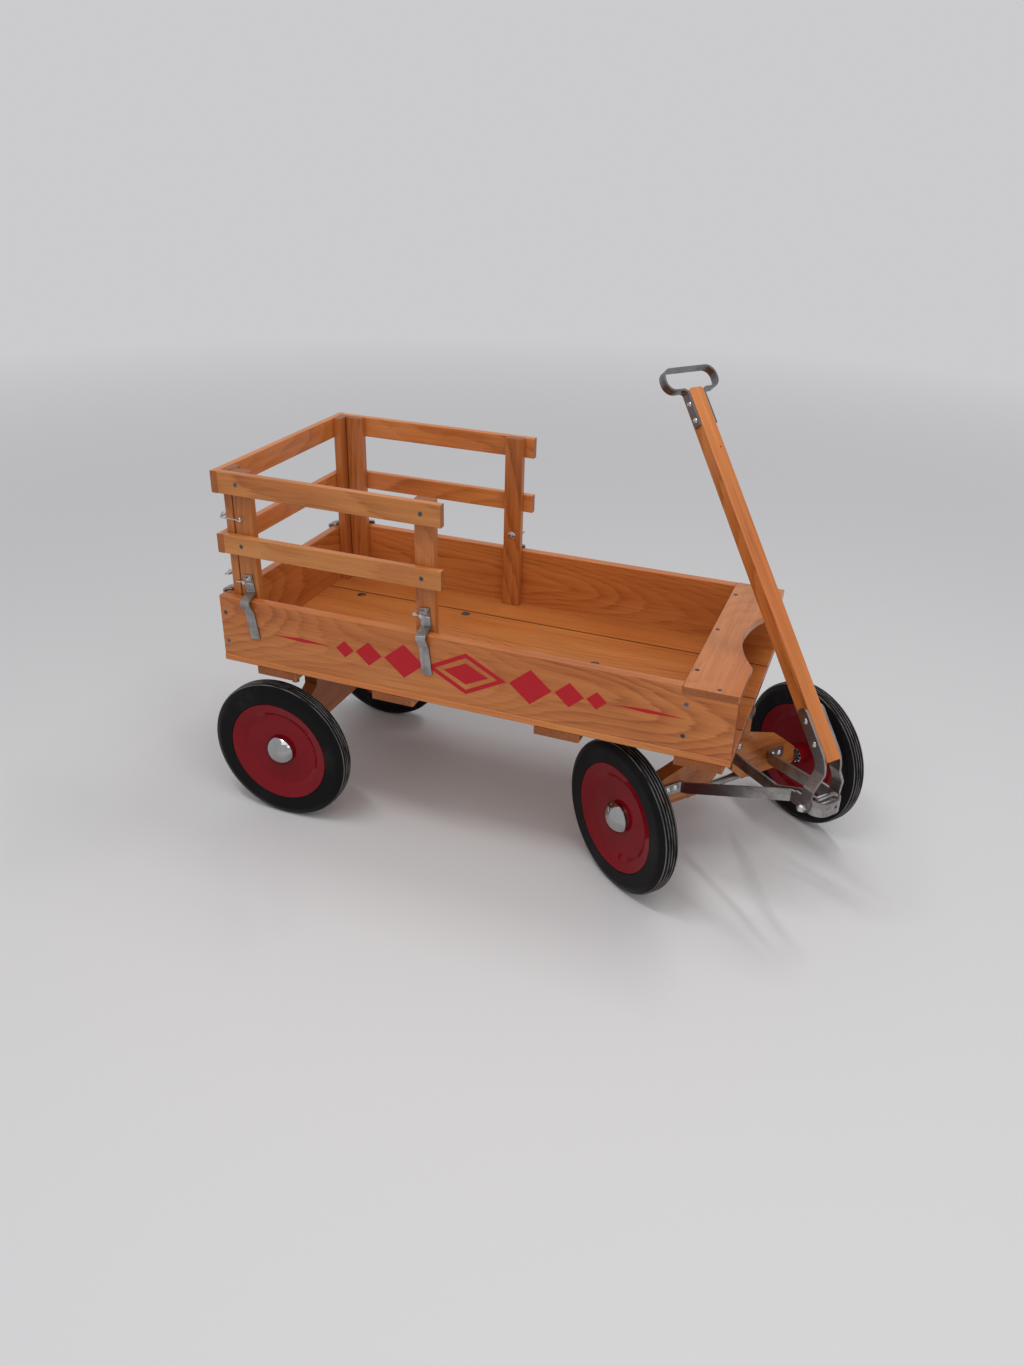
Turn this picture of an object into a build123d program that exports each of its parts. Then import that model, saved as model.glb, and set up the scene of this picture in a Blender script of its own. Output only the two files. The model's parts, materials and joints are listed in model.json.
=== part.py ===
from build123d import *
from math import atan2, cos, degrees, hypot, radians, sin, sqrt
import os

# A child's wooden coaster wagon: plank box on cleats, two bolsters with steel axles, four
# ball-bearing disc wheels, a steered front gear with a pull handle, and three lift-off racks.
# Millimetres. The origin is the middle of the deck's top face. +X is forward, +Y is the
# wagon's left, +Z is up. The front gear is modelled turned to the right, as it stands at rest.

# ---------------------------------------------------------------- driving dimensions
deck_length = 845.0
deck_width = 409.0
deck_thickness = 12.5
right_plank = 93.2          # widths of the planks from the right edge; the last takes the rest
right_inner_plank = 105.0
left_inner_plank = 121.0
plank_seam = 0.8
deck_edge_round = 3.0
plank_end_chamfer = 0.8

board_thickness = 16.0
board_height = 103.8
board_round = 2.0          # top edges of the boards
board_ledge = 1.0           # the side boards stand this far inside the deck's edge
rear_board_inset = 2.0
seat_depth = 80.6
seat_thickness = 11.7
seat_cut_half_width = 108.0
seat_cut_depth = 31.0
seat_cut_shoulder = 92.0    # where the cut's bevel meets its curve, from the middle
seat_cut_shoulder_depth = 8.5
seat_corner = 3.0
seat_round = 1.5

cleat_width = 72.0
cleat_thickness = 13.0
cleat_chamfer = 1.5
cleat_end_inset = 61.0      # from the deck's rear end to the first cleat
cleat_pitches = (212.0, 274.0, 216.0)

wheel_diameter = 254.0
tyre_width = 33.6
tyre_shoulder = 12.0        # rounding of the tyre's sides
tyre_crown = 7.0            # rounding at the edges of its tread
tyre_foot_round = 1.2      # where its sides meet the disc's edge
tyre_slack = 0.25           # between the rubber and the discs
groove_outs = (-7.5, -2.5, 2.5, 7.5)
groove_width = 2.8
groove_depth = 1.6
rim_radius = 84.0
disc_radius = 90.5
disc_sheet = 1.6
disc_web_out = 5.0          # from the wheel's middle plane to the sheet's middle, at the centre
disc_web_radius = 66.0
disc_step_radius = 74.0
disc_step_out = 10.0
disc_edge_out = 15.4
disc_bend = 5.0
hub_radius = 17.5
hub_bore_radius = 15.2
hub_outer_end = 9.0
hub_inner_end = 22.0
ball_radius = 3.0
balls_per_race = 9
ball_row_inner = 18.0
ball_row_outer = 5.0
cone_length = 8.0
cap_radius = 26.0
cap_rise = 14.0            # of its dome
cap_neck_radius = 22.0
cap_neck = 6.5             # height of the neck under the dome
cap_sheet = 1.2
axle_radius = 6.35
axle_drop = 170.7           # from the deck's top down to the axles
axle_stub = 16.0            # the axle's end, beyond the wheel's middle plane

rear_axle_from_end = 88.4
rear_track = 384.6
front_axle_from_end = 803.6
front_track = 392.3
steer_rest = -37.85         # degrees the front gear is turned at rest

bolster_thickness = 24.0
bolster_half_length = 160.0
bolster_end_height = 30.0
bolster_shoulder_height = 53.0
bolster_shoulder_run = 32.0     # from the bolster's end to its shoulder
bolster_end_slope = 4.0
bolster_block_rise = 22.0       # the raised block's foot above the shoulder
front_block_ease = 11.0         # the slope at the front block's foot
rear_block_half_width = 90.0
front_block_half_width = 46.0
arch_half_width = 42.0
arch_top_half_width = 17.0
arch_height = 41.0
turntable_radius = 44.0
plate_thickness = 3.0
king_radius = 6.35

strap_height = 19.0
strap_thickness = 4.0
hound_tab_out = 127.0
hound_bend_out = 94.5
hound_tab_height = 31.0     # middle of the hound's tab above the axle
yoke_half_width = 27.0
yoke_start = 188.0
yoke_front = 238.0
yoke_bend_radius = 18.0
yoke_rise = 12.5            # the yoke's top edge above the pivot
yoke_drop = 9.5
yoke_hole_radius = 2.6
yoke_hole_offset = 6.0
yoke_hole_rise = 3.0
pivot_forward = 211.0       # the handle's pivot, ahead of the king bolt
pivot_height = 90.0         # the same, above the axle
pivot_radius = 4.76
center_strap_height = 65.0
center_rise_start = 135.0   # where the middle brace starts to rise, ahead of the king bolt
center_tab = 10.0           # its tab, past its bolt
strap_bend = 6.0            # bends of the flat straps, at the middle of the sheet
hound_end_run = 8.0         # straight run at each end of a hound's arm
hound_rise_bend = 20.0
center_rise_bend = 25.0
handle_knee_bend = 40.0     # the handle straps' knee at the bar's foot
crank_top = 56.0            # the handle straps' crank, above the pivot
crank_foot = 31.0
center_strap_offset = 9.0
spacer_radius = 7.0

bar_foot_forward = 225.8    # the bar's lower front edge, ahead of the king bolt
bar_foot_height = 168.3     # the same, above the axle
bar_lean = 40.4             # degrees back from upright at rest
bar_length = 589.3
bar_width = 27.0
bar_foot_thickness = 26.7
bar_top_thickness = 22.0
bar_corner = 4.0            # clipped off the bar's top corners
bar_round = 2.5
bar_hole_radius = 1.3
bar_hole_offset = 4.1
bar_hole_drop = 98.5        # below the bar's top
bar_hole_depth = 7.0
handle_strap_run = 76.0     # length of the handle straps on the bar's sides
handle_strap_setback = 11.0
handle_rivets = (31.0, 66.0)
grip_sheet = 3.5
grip_strap_width = 13.5
grip_setback = 9.0          # from the bar's front face to the strap's middle
grip_half_width = 50.5
grip_height = 34.7
grip_arm_drop = 0.7         # the lower arms' middle below the bar's top
grip_leg = 59.3
grip_corner = 15.5
grip_leg_bend = 7.0
grip_rivets = (22.8, 49.3)
rivet_radius = 2.4
rivet_head_radius = 4.6
rivet_head_rise = 2.3

post_width = 32.0
post_thickness = 14.0
rail_thickness = 12.0
rack_height = 310.0
lower_rail_bottom = 177.3
lower_rail_height = 31.5
upper_rail_height = 35.0
rack_length = 374.7         # of the side racks' rails
side_post_from_rear = 15.7  # from the rails' rear end to the rear post
side_post_gap = 279.0       # clear width between the side racks' posts
clip_width = 16.5
clip_sheet = 3.0
clip_top = 142.3
clip_bolt_height = 134.3
clip_knee_rise = 8.9        # the clip's upper bend above the board
clip_reach = 11.0           # its outer bend, off the board's outer face
clip_reach_drop = 0.8       # the outer bend below the board's top
clip_rest_drop = 20.8       # where the clip comes back to the board, below its top
clip_bend = 4.0
side_clip_turns = (9.0, 6.3)    # degrees, foot forward, rear clip and front clip
clip_foot_height = 38.3
clip_bolt_radius = 3.2
hook_height = 235.3
hook_wire = 1.2
hook_eye_radius = 3.6
hook_loop_radius = 3.2
catch_eye_radius = 4.2
hook_tip = 14.2
hook_bend = 3.0
eye_shank = 11.0
catch_offset = 3.0          # the catch eye inside the right rack's face

screw_head_radius = 3.8
screw_neck = 3.0
screw_rim = 0.6
screw_radius = 1.9
screw_point = 2.5
recess_length = 4.4         # cross recess in a screw's head
recess_width = 0.9
recess_depth = 1.2
bolt_radius = 3.2
bolt_head_radius = 8.0
bolt_head_rise = 2.4
nut_flats = 11.0
nut_height = 5.0
nut_corner_share = 1.12     # a nut's corners are turned down to this share of its half flats
bolt_tail = 2.0             # thread showing past a nut
lag_radius = 3.0
lag_length = 55.0
lag_flats = 11.0
lag_head_height = 4.5
side_screw_length = 38.0
seat_screw_length = 30.0
under_screw_length = 40.0
turntable_screw_length = 14.0
bolster_screw_length = 66.0
board_screw_heights = (24.0, 75.0)
seat_screw_outs = (-148.0, 0.0, 148.0)
seat_side_screw_forward = 10.0      # ahead of the seat's middle
under_screws = (-250.0, -20.0, 60.0, 270.0)
bolster_screw_out = 55.0
upper_screw_inset = 9.0     # from the turntable's edge
lower_screw_inset = 13.0
bolt_edge = 13.5            # carriage bolts from the inner planks' edges
bolt_behind = 6.0           # carriage bolts behind the cleats' middles
lag_edge = 5.0              # lag bolts from the rear cleat's front edge
king_head_radius = 11.0
king_head_rise = 3.5
king_washer_radius = 14.0
king_washer = 2.0
king_nut_flats = 19.0
king_nut_height = 8.5
staple_wire = 1.6
staple_leg = 22.0
rear_staples = (72.0, 148.0)
front_staples = (66.0, 148.0)
axle_chamfer = 1.0
collar_radius = 10.0
axle_washer_radius = 11.0
axle_washer = 1.2
axle_nut_flats = 17.0
axle_nut_height = 4.0
gear_bolt_radius = 2.6
gear_bolt_head = 5.6
gear_bolt_rise = 2.4
gear_nut_flats = 9.0
hound_bolt_outs = (104.7, 119.2)
bolster_bolt_out = 28.0
bolster_bolt_height = 67.0
hitch_head_radius = 8.5
hitch_head_rise = 4.0
acorn_flats = 13.2
acorn_body = 6.0
acorn_rise = 5.2
wing_hub_radius = 6.0
wing_hub_top_radius = 4.6
wing_hub_height = 7.0
wing_sheet = 2.2
wing_outline = ((2, 2.2), (13, 6), (15.5, 14), (8, 12.5), (2, 6))   # (out from the axis, up)
clip_head_radius = 7.5
clip_head_rise = 2.2
clip_bolt_tail = 14.0
rail_screw_length = 22.0

gap = 0.3                   # between pieces of bodies that move against each other
tab_clearance = 0.4         # between the yoke and a handle strap
running = 0.05              # radial clearance of a pin that turns in its hole
seating = 0.05              # radial clearance of a fastener in its own hole
edge_round = 1.5

# ---------------------------------------------------------------- worked-out places
rear_end = -deck_length / 2
front_end = deck_length / 2
deck_edge = deck_width / 2
deck_bottom = -deck_thickness
cleat_bottom = deck_bottom - cleat_thickness
axle_z = -axle_drop
ball_path_radius = hub_bore_radius - ball_radius - running
wheel_radius = wheel_diameter / 2
board_out = deck_edge - board_ledge
board_in = board_out - board_thickness
rear_board_out = rear_end + rear_board_inset
rear_board_in = rear_board_out + board_thickness
seat_rear = front_end - seat_depth
seat_bottom = board_height - seat_thickness
rear_axle_x = rear_end + rear_axle_from_end
king_x = rear_end + front_axle_from_end
half_bolster = bolster_thickness / 2
gear_place = Location((king_x, 0, 0), (0, 0, steer_rest))
pivot_z = axle_z + pivot_height
handle_tab_out = yoke_half_width + tab_clearance + strap_thickness
bar_foot_z = axle_z + bar_foot_height
bar_place = Location((bar_foot_forward, 0, bar_foot_z), (0, -bar_lean, 0))
lower_plate_top = cleat_bottom - plate_thickness - gap
bolster_top = lower_plate_top - plate_thickness

seams = [
    -deck_edge + right_plank,
    -deck_edge + right_plank + right_inner_plank,
    -deck_edge + right_plank + right_inner_plank + left_inner_plank,
]
cleat_starts = [rear_end + cleat_end_inset + sum(cleat_pitches[:i]) for i in range(4)]
cleat_middles = [start + cleat_width / 2 for start in cleat_starts]

rack_face = board_in - gap                  # outer face of the side racks' posts
rear_rack_face = rear_board_in + gap        # rear face of the rear rack's posts
rack_foot = gap
rack_top = rack_foot + rack_height
clip_offset = board_thickness + gap         # from a post's outer face to the board's outer face


# ---------------------------------------------------------------- helpers
def save(name, *shapes):
    """Writes one node: the given shapes' solids, in the wagon's frame."""
    solids = [solid for shape in shapes for solid in shape.solids()]
    node = Compound(solids)
    node.label = name
    export_step(node, f"parts/{name}.step")


def block(x_span, y_span, z_span):
    """Box between two values on each axis."""
    size = [span[1] - span[0] for span in (x_span, y_span, z_span)]
    middle = [(span[0] + span[1]) / 2 for span in (x_span, y_span, z_span)]
    return Pos(*middle) * Box(*size)


def rod(start, end, radius):
    """Round bar between two points."""
    run = Vector(*end) - Vector(*start)
    return extrude(Plane(origin=start, z_dir=run) * Circle(radius), amount=run.length)


def turned(points, axis=Axis.Y):
    """Solid of revolution about Y from points given as (radius, along the axis)."""
    return revolve(make_face(Polyline(*points, close=True)), axis)


def across(face, half_width):
    """Prism along Y from a face drawn as (x, z)."""
    return extrude(Plane.XZ * face, amount=half_width, both=True)


def along(face, x_span):
    """Prism along X from a face drawn as (y, z)."""
    return extrude(Plane.YZ.offset(x_span[0]) * face, amount=x_span[1] - x_span[0])


def upward(face, z_span):
    """Prism along Z from a face drawn as (x, y)."""
    return extrude(Plane.XY.offset(z_span[0]) * face, amount=z_span[1] - z_span[0])


def polygon(*points):
    return make_face(Polyline(*points, close=True))


def band(points, radius, width):
    """Strip of constant width along a polyline with rounded bends."""
    return trace(FilletPolyline(*points, radius=radius), line_width=width)


def mirrored(shape):
    """The same piece on the wagon's other side."""
    return mirror(shape, Plane.XZ)


def eased(piece, axis, radius=edge_round):
    """Rounds the edges that run along one axis."""
    return fillet(piece.edges().filter_by(axis), radius)


# ---------------------------------------------------------------- fasteners
def screw_blank(length, spare=0.0):
    """Countersunk screw pointing down, its head flush at the origin; spare grows it for its hole."""
    rim = screw_head_radius + spare
    tip = [(screw_radius + spare, screw_point - length), (0, -length - spare)]
    head = [(0, 0), (rim, 0), (rim, -screw_rim)]
    outline = head + [(screw_radius + spare, -screw_neck)] + tip
    return revolve(Plane.XZ * polygon(*outline), Axis.Z)


def wood_screw(length):
    """Countersunk screw with a cross recess."""
    slot = Box(recess_length, recess_width, 2 * recess_depth)
    slot += Box(recess_width, recess_length, 2 * recess_depth)
    return screw_blank(length) - slot


def dome(radius, rise):
    """Low domed head standing on the origin, round about Z."""
    ball_r = (radius * radius + rise * rise) / (2 * rise)
    ball = Pos(0, 0, rise - ball_r) * Sphere(ball_r)
    return ball & (Pos(0, 0, rise / 2) * Cylinder(radius, rise))


def carriage_bolt(grip, tail, radius=bolt_radius, head=bolt_head_radius, rise=bolt_head_rise):
    """Domed bolt through a stack of the given grip, pointing down from the origin."""
    shank = Pos(0, 0, -(grip + tail) / 2) * Cylinder(radius, grip + tail)
    return dome(head, rise) + shank


def hex_nut(flats=nut_flats, height=nut_height, bore=bolt_radius):
    """Nut standing on the origin, round about Z."""
    body = extrude(RegularPolygon(flats / 2, 6, major_radius=False), amount=height)
    round_bar = Pos(0, 0, height / 2) * Cylinder(flats / 2 * nut_corner_share, height)
    return (body & round_bar) - Pos(0, 0, height / 2) * Cylinder(bore + seating, height)


def washer(outer, bore, thickness):
    ring = Cylinder(outer, thickness) - Cylinder(bore + seating, thickness)
    return Pos(0, 0, thickness / 2) * ring


def drill(place, radius, depth):
    """Cutter for a hole that runs down from a place."""
    return place * Pos(0, 0, -depth / 2) * Cylinder(radius + seating, depth)


# ---------------------------------------------------------------- box fasteners and their places
screw_spots = []            # (place of the head, length)
for side in (-1, 1):
    facing_out = (90 * -side, 0, 0)
    for board_x in (rear_board_in - board_thickness / 2, seat_rear + board_thickness / 2):
        for height in board_screw_heights:
            spot = Location((board_x, side * board_out, height), facing_out)
            screw_spots.append((spot, side_screw_length))
    seat_side_x = (seat_rear + front_end) / 2 + seat_side_screw_forward
    spot = Location((seat_side_x, side * (board_out - board_thickness / 2), board_height))
    screw_spots.append((spot, seat_screw_length))
    for under_x in under_screws:
        spot = Location(
            (under_x, side * (board_out - board_thickness / 2), deck_bottom), (180, 0, 0)
        )
        screw_spots.append((spot, under_screw_length))
for seat_y in seat_screw_outs:
    spot = Location((seat_rear + board_thickness / 2, seat_y, board_height))
    screw_spots.append((spot, seat_screw_length))
for angle in range(45, 360, 90):
    reach = turntable_radius - upper_screw_inset
    spot = Location(
        (
            king_x + reach * cos(radians(angle)),
            reach * sin(radians(angle)),
            cleat_bottom - plate_thickness,
        ),
        (180, 0, 0),
    )
    screw_spots.append((spot, turntable_screw_length))

stack = deck_thickness + cleat_thickness
bolt_spots = []
for index, middle in enumerate(cleat_middles):
    if index == 2:
        ys = (seams[1] - bolt_edge, seams[1] + bolt_edge)
    else:
        ys = (seams[0] + bolt_edge, seams[2] - bolt_edge)
    bolt_spots += [Location((middle - bolt_behind, y, 0)) for y in ys]
lag_x = cleat_starts[0] + cleat_width - lag_edge
lag_y = board_out - board_thickness / 2
lag_spots = [Location((lag_x, side * lag_y, cleat_bottom), (180, 0, 0)) for side in (-1, 1)]
bolster_screw_spots = [
    Location((rear_axle_x, side * bolster_screw_out, deck_bottom)) for side in (-1, 1)
]


def cut_for_fasteners(piece):
    """Takes every box fastener's hole out of a piece."""
    for spot, length in screw_spots:
        piece -= spot * screw_blank(length, seating)
    for spot in bolt_spots:
        piece -= drill(spot, bolt_radius, stack + nut_height)
    for spot in lag_spots:
        piece -= drill(spot, lag_radius, lag_length)
    for spot in bolster_screw_spots:
        piece -= spot * screw_blank(bolster_screw_length, seating)
    return piece


def king_hole(piece, clearance):
    return piece - Pos(king_x, 0, 0) * Cylinder(king_radius + clearance, 2 * axle_drop)


# ---------------------------------------------------------------- box
def deck_planks():
    edges = [-deck_edge] + seams + [deck_edge]
    planks = []
    for index in range(4):
        low = edges[index] + (plank_seam / 2 if index > 0 else 0)
        high = edges[index + 1] - (plank_seam / 2 if index < 3 else 0)
        plank = block((rear_end, front_end), (low, high), (deck_bottom, 0))
        long_edges = plank.edges().filter_by(Axis.X)
        if index == 0:
            plank = fillet(long_edges.group_by(Axis.Y)[0], deck_edge_round)
        if index == 3:
            plank = fillet(long_edges.group_by(Axis.Y)[-1], deck_edge_round)
        plank = chamfer(plank.edges().filter_by(Axis.Y), plank_end_chamfer)
        plank = king_hole(cut_for_fasteners(plank), seating)
        planks.append(plank)
    return planks


def deck_cleats():
    cleats = []
    for start in cleat_starts:
        cleat = block(
            (start, start + cleat_width), (-deck_edge, deck_edge), (cleat_bottom, deck_bottom)
        )
        cleat = chamfer(cleat.edges().filter_by(Axis.Z), cleat_chamfer)
        cleats.append(king_hole(cut_for_fasteners(cleat), seating))
    return cleats


def side_board(side):
    """Side board with the notch that takes the seat."""
    ys = sorted((side * board_in, side * board_out))
    board = block((rear_end + board_ledge, front_end - board_ledge), ys, (0, board_height))
    board = fillet(board.edges().filter_by(Axis.X).group_by(Axis.Z)[-1], board_round)
    notch = block((seat_rear, front_end + 1), (ys[0] - 1, ys[1] + 1), (seat_bottom, board_height + 1))
    return cut_for_fasteners(board - notch)


def rear_board():
    board = block((rear_board_out, rear_board_in), (-board_in, board_in), (0, board_height))
    board = fillet(board.edges().filter_by(Axis.Y).group_by(Axis.Z)[-1], board_round)
    return cut_for_fasteners(board)


def front_board():
    x_span = (seat_rear, seat_rear + board_thickness)
    return cut_for_fasteners(block(x_span, (-board_in, board_in), (0, seat_bottom)))


def seat_board():
    """Seat with the shaped cut in its front edge."""
    seat = block((seat_rear, front_end), (-deck_edge, deck_edge), (seat_bottom, board_height))
    seat = fillet(seat.edges().filter_by(Axis.Z), seat_corner)
    shoulder_x = front_end - seat_cut_shoulder_depth
    beyond = seat_cut_depth                     # how far the cut runs past the front edge
    edge = [
        Line((shoulder_x, seat_cut_shoulder), (front_end, seat_cut_half_width)),
        Line((front_end, seat_cut_half_width), (front_end + beyond, seat_cut_half_width)),
        Line((front_end + beyond, seat_cut_half_width), (front_end + beyond, -seat_cut_half_width)),
        Line((front_end + beyond, -seat_cut_half_width), (front_end, -seat_cut_half_width)),
        Line((front_end, -seat_cut_half_width), (shoulder_x, -seat_cut_shoulder)),
        ThreePointArc(
            (shoulder_x, -seat_cut_shoulder),
            (front_end - seat_cut_depth, 0),
            (shoulder_x, seat_cut_shoulder),
        ),
    ]
    seat -= upward(make_face(edge), (seat_bottom - 1, board_height + 1))
    top_edges = seat.edges().group_by(Axis.Z)[-1]
    seat = fillet(top_edges, seat_round)
    return cut_for_fasteners(seat)


def box_screws():
    screws = [spot * wood_screw(length) for spot, length in screw_spots]
    screws += [spot * wood_screw(bolster_screw_length) for spot in bolster_screw_spots]
    return screws


def deck_bolts():
    """Carriage bolts with nuts through planks and cleats, and the two rear lag bolts."""
    pieces = []
    for spot in bolt_spots:
        pieces.append(spot * carriage_bolt(stack, nut_height + bolt_tail))
        pieces.append(spot * Pos(0, 0, -stack - nut_height) * hex_nut())
    for spot in lag_spots:
        head = extrude(RegularPolygon(lag_flats / 2, 6, major_radius=False), amount=lag_head_height)
        shank = Pos(0, 0, -lag_length / 2) * Cylinder(lag_radius, lag_length)
        pieces.append(spot * (head + shank))
    return pieces


# ---------------------------------------------------------------- bolsters, axles and king bolt
def bolster_outline(block_half_width, top, foot_ease):
    """Right half, then mirrored: raised block, sloping shoulder and cut-off end, as (y, z)."""
    shoulder = axle_z + bolster_shoulder_height
    block_foot = shoulder + bolster_block_rise
    half = [(block_half_width, top)]
    if foot_ease:
        half += [(block_half_width, block_foot + foot_ease)]
    half += [
        (block_half_width + foot_ease, block_foot),
        (bolster_half_length - bolster_shoulder_run, shoulder),
        (bolster_half_length - bolster_end_slope, axle_z + bolster_end_height),
        (bolster_half_length, axle_z),
    ]
    return half + [(-y, z) for y, z in reversed(half)]


def axle_groove():
    return rod((0, -deck_width, axle_z), (0, deck_width, axle_z), axle_radius + seating)


def staple(y):
    """U of wire that holds the axle up in its groove."""
    reach = axle_radius + seating + staple_wire
    top = axle_z + staple_leg
    path = Wire(
        [
            Line((-reach, y, top), (-reach, y, axle_z)),
            ThreePointArc((-reach, y, axle_z), (0, y, axle_z - reach), (reach, y, axle_z)),
            Line((reach, y, axle_z), (reach, y, top)),
        ]
    )
    return sweep(Plane(origin=(-reach, y, top), z_dir=(0, 0, -1)) * Circle(staple_wire), path)


def staple_holes(piece, places):
    reach = axle_radius + seating + staple_wire
    for y in places:
        for x in (-reach, reach):
            top = axle_z + staple_leg + seating
            piece -= rod((x, y, axle_z - axle_radius), (x, y, top), staple_wire + seating)
    return piece


def rear_bolster():
    outline = bolster_outline(rear_block_half_width, cleat_bottom, 0)
    wood = along(polygon(*outline), (-half_bolster, half_bolster)) - axle_groove()
    wood = staple_holes(wood, [side * y for side in (-1, 1) for y in rear_staples])
    return cut_for_fasteners(Pos(rear_axle_x, 0, 0) * wood)


def axle(track):
    half = track / 2 + axle_stub
    return chamfer(rod((0, -half, axle_z), (0, half, axle_z), axle_radius).edges(), axle_chamfer)


def axle_hardware(track, staple_places):
    """Everything fixed on an axle: staples, collars, bearing cones, washers and end nuts."""
    pieces = [staple(side * y) for side in (-1, 1) for y in staple_places]
    middle = track / 2
    bore = axle_radius + seating
    cone_radius = ball_path_radius - ball_radius - 2 * running
    inner_row = middle - ball_row_inner
    outer_row = middle + ball_row_outer
    washer_start = middle + hub_outer_end + gap
    rings = [
        (bolster_half_length + gap, middle - hub_inner_end - gap, collar_radius),
        (inner_row - cone_length / 2, inner_row + cone_length / 2, cone_radius),
        (outer_row - cone_length / 2, outer_row + cone_length / 2, cone_radius),
        (washer_start, washer_start + axle_washer, axle_washer_radius),
    ]
    for side in (-1, 1):
        for start, end, radius in rings:
            ring = turned([(bore, start), (radius, start), (radius, end), (bore, end)])
            pieces.append(Pos(0, 0, axle_z) * (ring if side > 0 else mirrored(ring)))
        nut = Rot(-90, 0, 0) * hex_nut(axle_nut_flats, axle_nut_height, axle_radius)
        nut = Pos(0, washer_start + axle_washer, axle_z) * nut
        pieces.append(nut if side > 0 else mirrored(nut))
    return pieces


def upper_turntable():
    plate = Cylinder(turntable_radius, plate_thickness)
    plate = Pos(king_x, 0, cleat_bottom - plate_thickness / 2) * plate
    return king_hole(cut_for_fasteners(plate), seating)


def king_bolt():
    """Bolt from the deck's top down into the front bolster's arch, with its washer and nut."""
    seat_z = axle_z + arch_height - gap
    nut_foot = seat_z - king_washer - king_nut_height
    bolt = carriage_bolt(
        -seat_z, king_washer + king_nut_height + bolt_tail, king_radius, king_head_radius, king_head_rise
    )
    ring = Pos(0, 0, seat_z - king_washer) * washer(king_washer_radius, king_radius, king_washer)
    nut = Pos(0, 0, nut_foot) * hex_nut(king_nut_flats, king_nut_height, king_radius)
    return [Pos(king_x, 0, 0) * piece for piece in (bolt, ring, nut)]


# ---------------------------------------------------------------- front gear, straight ahead
front_face = half_bolster + strap_thickness / 2     # middle of a strap on the bolster's face
bolster_bolt_z = axle_z + bolster_bolt_height
hound_z = axle_z + hound_tab_height
center_strap_z = axle_z + center_strap_height


def forward_bolt(y, z, through_strap):
    """Carriage bolt along the gear's fore-and-aft line, its head in front and its nut behind."""
    head_x = half_bolster + (strap_thickness if through_strap else 0)
    grip = head_x + half_bolster
    place = Location((head_x, y, z), (0, 90, 0))
    bolt = carriage_bolt(
        grip, nut_height + bolt_tail, gear_bolt_radius, gear_bolt_head, gear_bolt_rise
    )
    nut = Pos(0, 0, -grip - nut_height) * hex_nut(gear_nut_flats, nut_height, gear_bolt_radius)
    return [place * bolt, place * nut]


gear_bolt_places = [
    (side * out, hound_z, True) for side in (-1, 1) for out in hound_bolt_outs
] + [(-bolster_bolt_out, center_strap_z, True), (bolster_bolt_out, bolster_bolt_z, False)]


def bolt_holes(piece):
    for y, z, _ in gear_bolt_places:
        piece -= rod((-bolster_thickness, y, z), (bolster_thickness, y, z), gear_bolt_radius + seating)
    return piece


def lower_screw_spots():
    reach = turntable_radius - lower_screw_inset
    return [Location((0, side * reach, lower_plate_top)) for side in (-1, 1)]


def front_bolster():
    """Bolster with a raised block, an arch below it, the axle's groove and the king bolt's hole."""
    outline = bolster_outline(front_block_half_width, bolster_top, front_block_ease)
    wood = along(polygon(*outline), (-half_bolster, half_bolster))
    bevel = arch_half_width - arch_top_half_width
    below = axle_radius
    arch = [
        (-arch_half_width - below, axle_z - below),
        (-arch_top_half_width, axle_z + bevel),
        (-arch_top_half_width, axle_z + arch_height),
    ]
    arch += [(-y, z) for y, z in reversed(arch)]
    wood -= along(polygon(*arch), (-half_bolster - 1, half_bolster + 1))
    wood -= axle_groove()
    wood -= Cylinder(king_radius + running, 2 * axle_drop)
    wood = staple_holes(wood, [side * y for side in (-1, 1) for y in front_staples])
    for spot in lower_screw_spots():
        wood -= spot * screw_blank(bolster_screw_length / 2, seating)
    return bolt_holes(wood)


def lower_turntable():
    plate = Cylinder(turntable_radius, plate_thickness)
    plate = Pos(0, 0, lower_plate_top - plate_thickness / 2) * plate
    plate -= Cylinder(king_radius + running, 2 * axle_drop)
    for spot in lower_screw_spots():
        plate -= spot * screw_blank(bolster_screw_length / 2, seating)
    return plate


def hound_strap():
    """Right hound: tab on the bolster's face, then a rising arm to the yoke."""
    leg = yoke_half_width - strap_thickness / 2
    plan = band(
        [
            (front_face, -hound_tab_out),
            (front_face, -hound_bend_out),
            (yoke_start - hound_end_run, -leg),
            (yoke_start, -leg),
        ],
        strap_bend,
        strap_thickness,
    )
    side_view = band(
        [
            (0, hound_z),
            (front_face + hound_end_run, hound_z),
            (yoke_start - hound_end_run, pivot_z),
            (yoke_start + hound_end_run, pivot_z),
        ],
        hound_rise_bend,
        strap_height,
    )
    return bolt_holes(upward(plan, (axle_z, 0)) & across(side_view, deck_width))


def center_strap():
    """Middle brace: tab on the bolster, level run, then a rise to the handle's pivot bolt."""
    end = pivot_forward + strap_height / 2
    plan = band(
        [
            (front_face, -bolster_bolt_out - center_tab),
            (front_face, 0),
            (yoke_start, -center_strap_offset),
            (end, -center_strap_offset),
        ],
        strap_bend,
        strap_thickness,
    )
    side_view = band(
        [
            (0, center_strap_z),
            (center_rise_start, center_strap_z),
            (yoke_start, pivot_z),
            (end + strap_bend, pivot_z),
        ],
        center_rise_bend,
        strap_height,
    )
    strap = upward(plan, (axle_z, 0)) & across(side_view, deck_width)
    tip_edges = strap.edges().filter_by(Axis.Y).sort_by(Axis.X)[-2:]
    strap = fillet(tip_edges, strap_height / 2 - 1)
    return bolt_holes(strap) - pivot_hole()


def pivot_hole():
    start = (pivot_forward, -deck_edge, pivot_z)
    end = (pivot_forward, deck_edge, pivot_z)
    return rod(start, end, pivot_radius + running)


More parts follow.
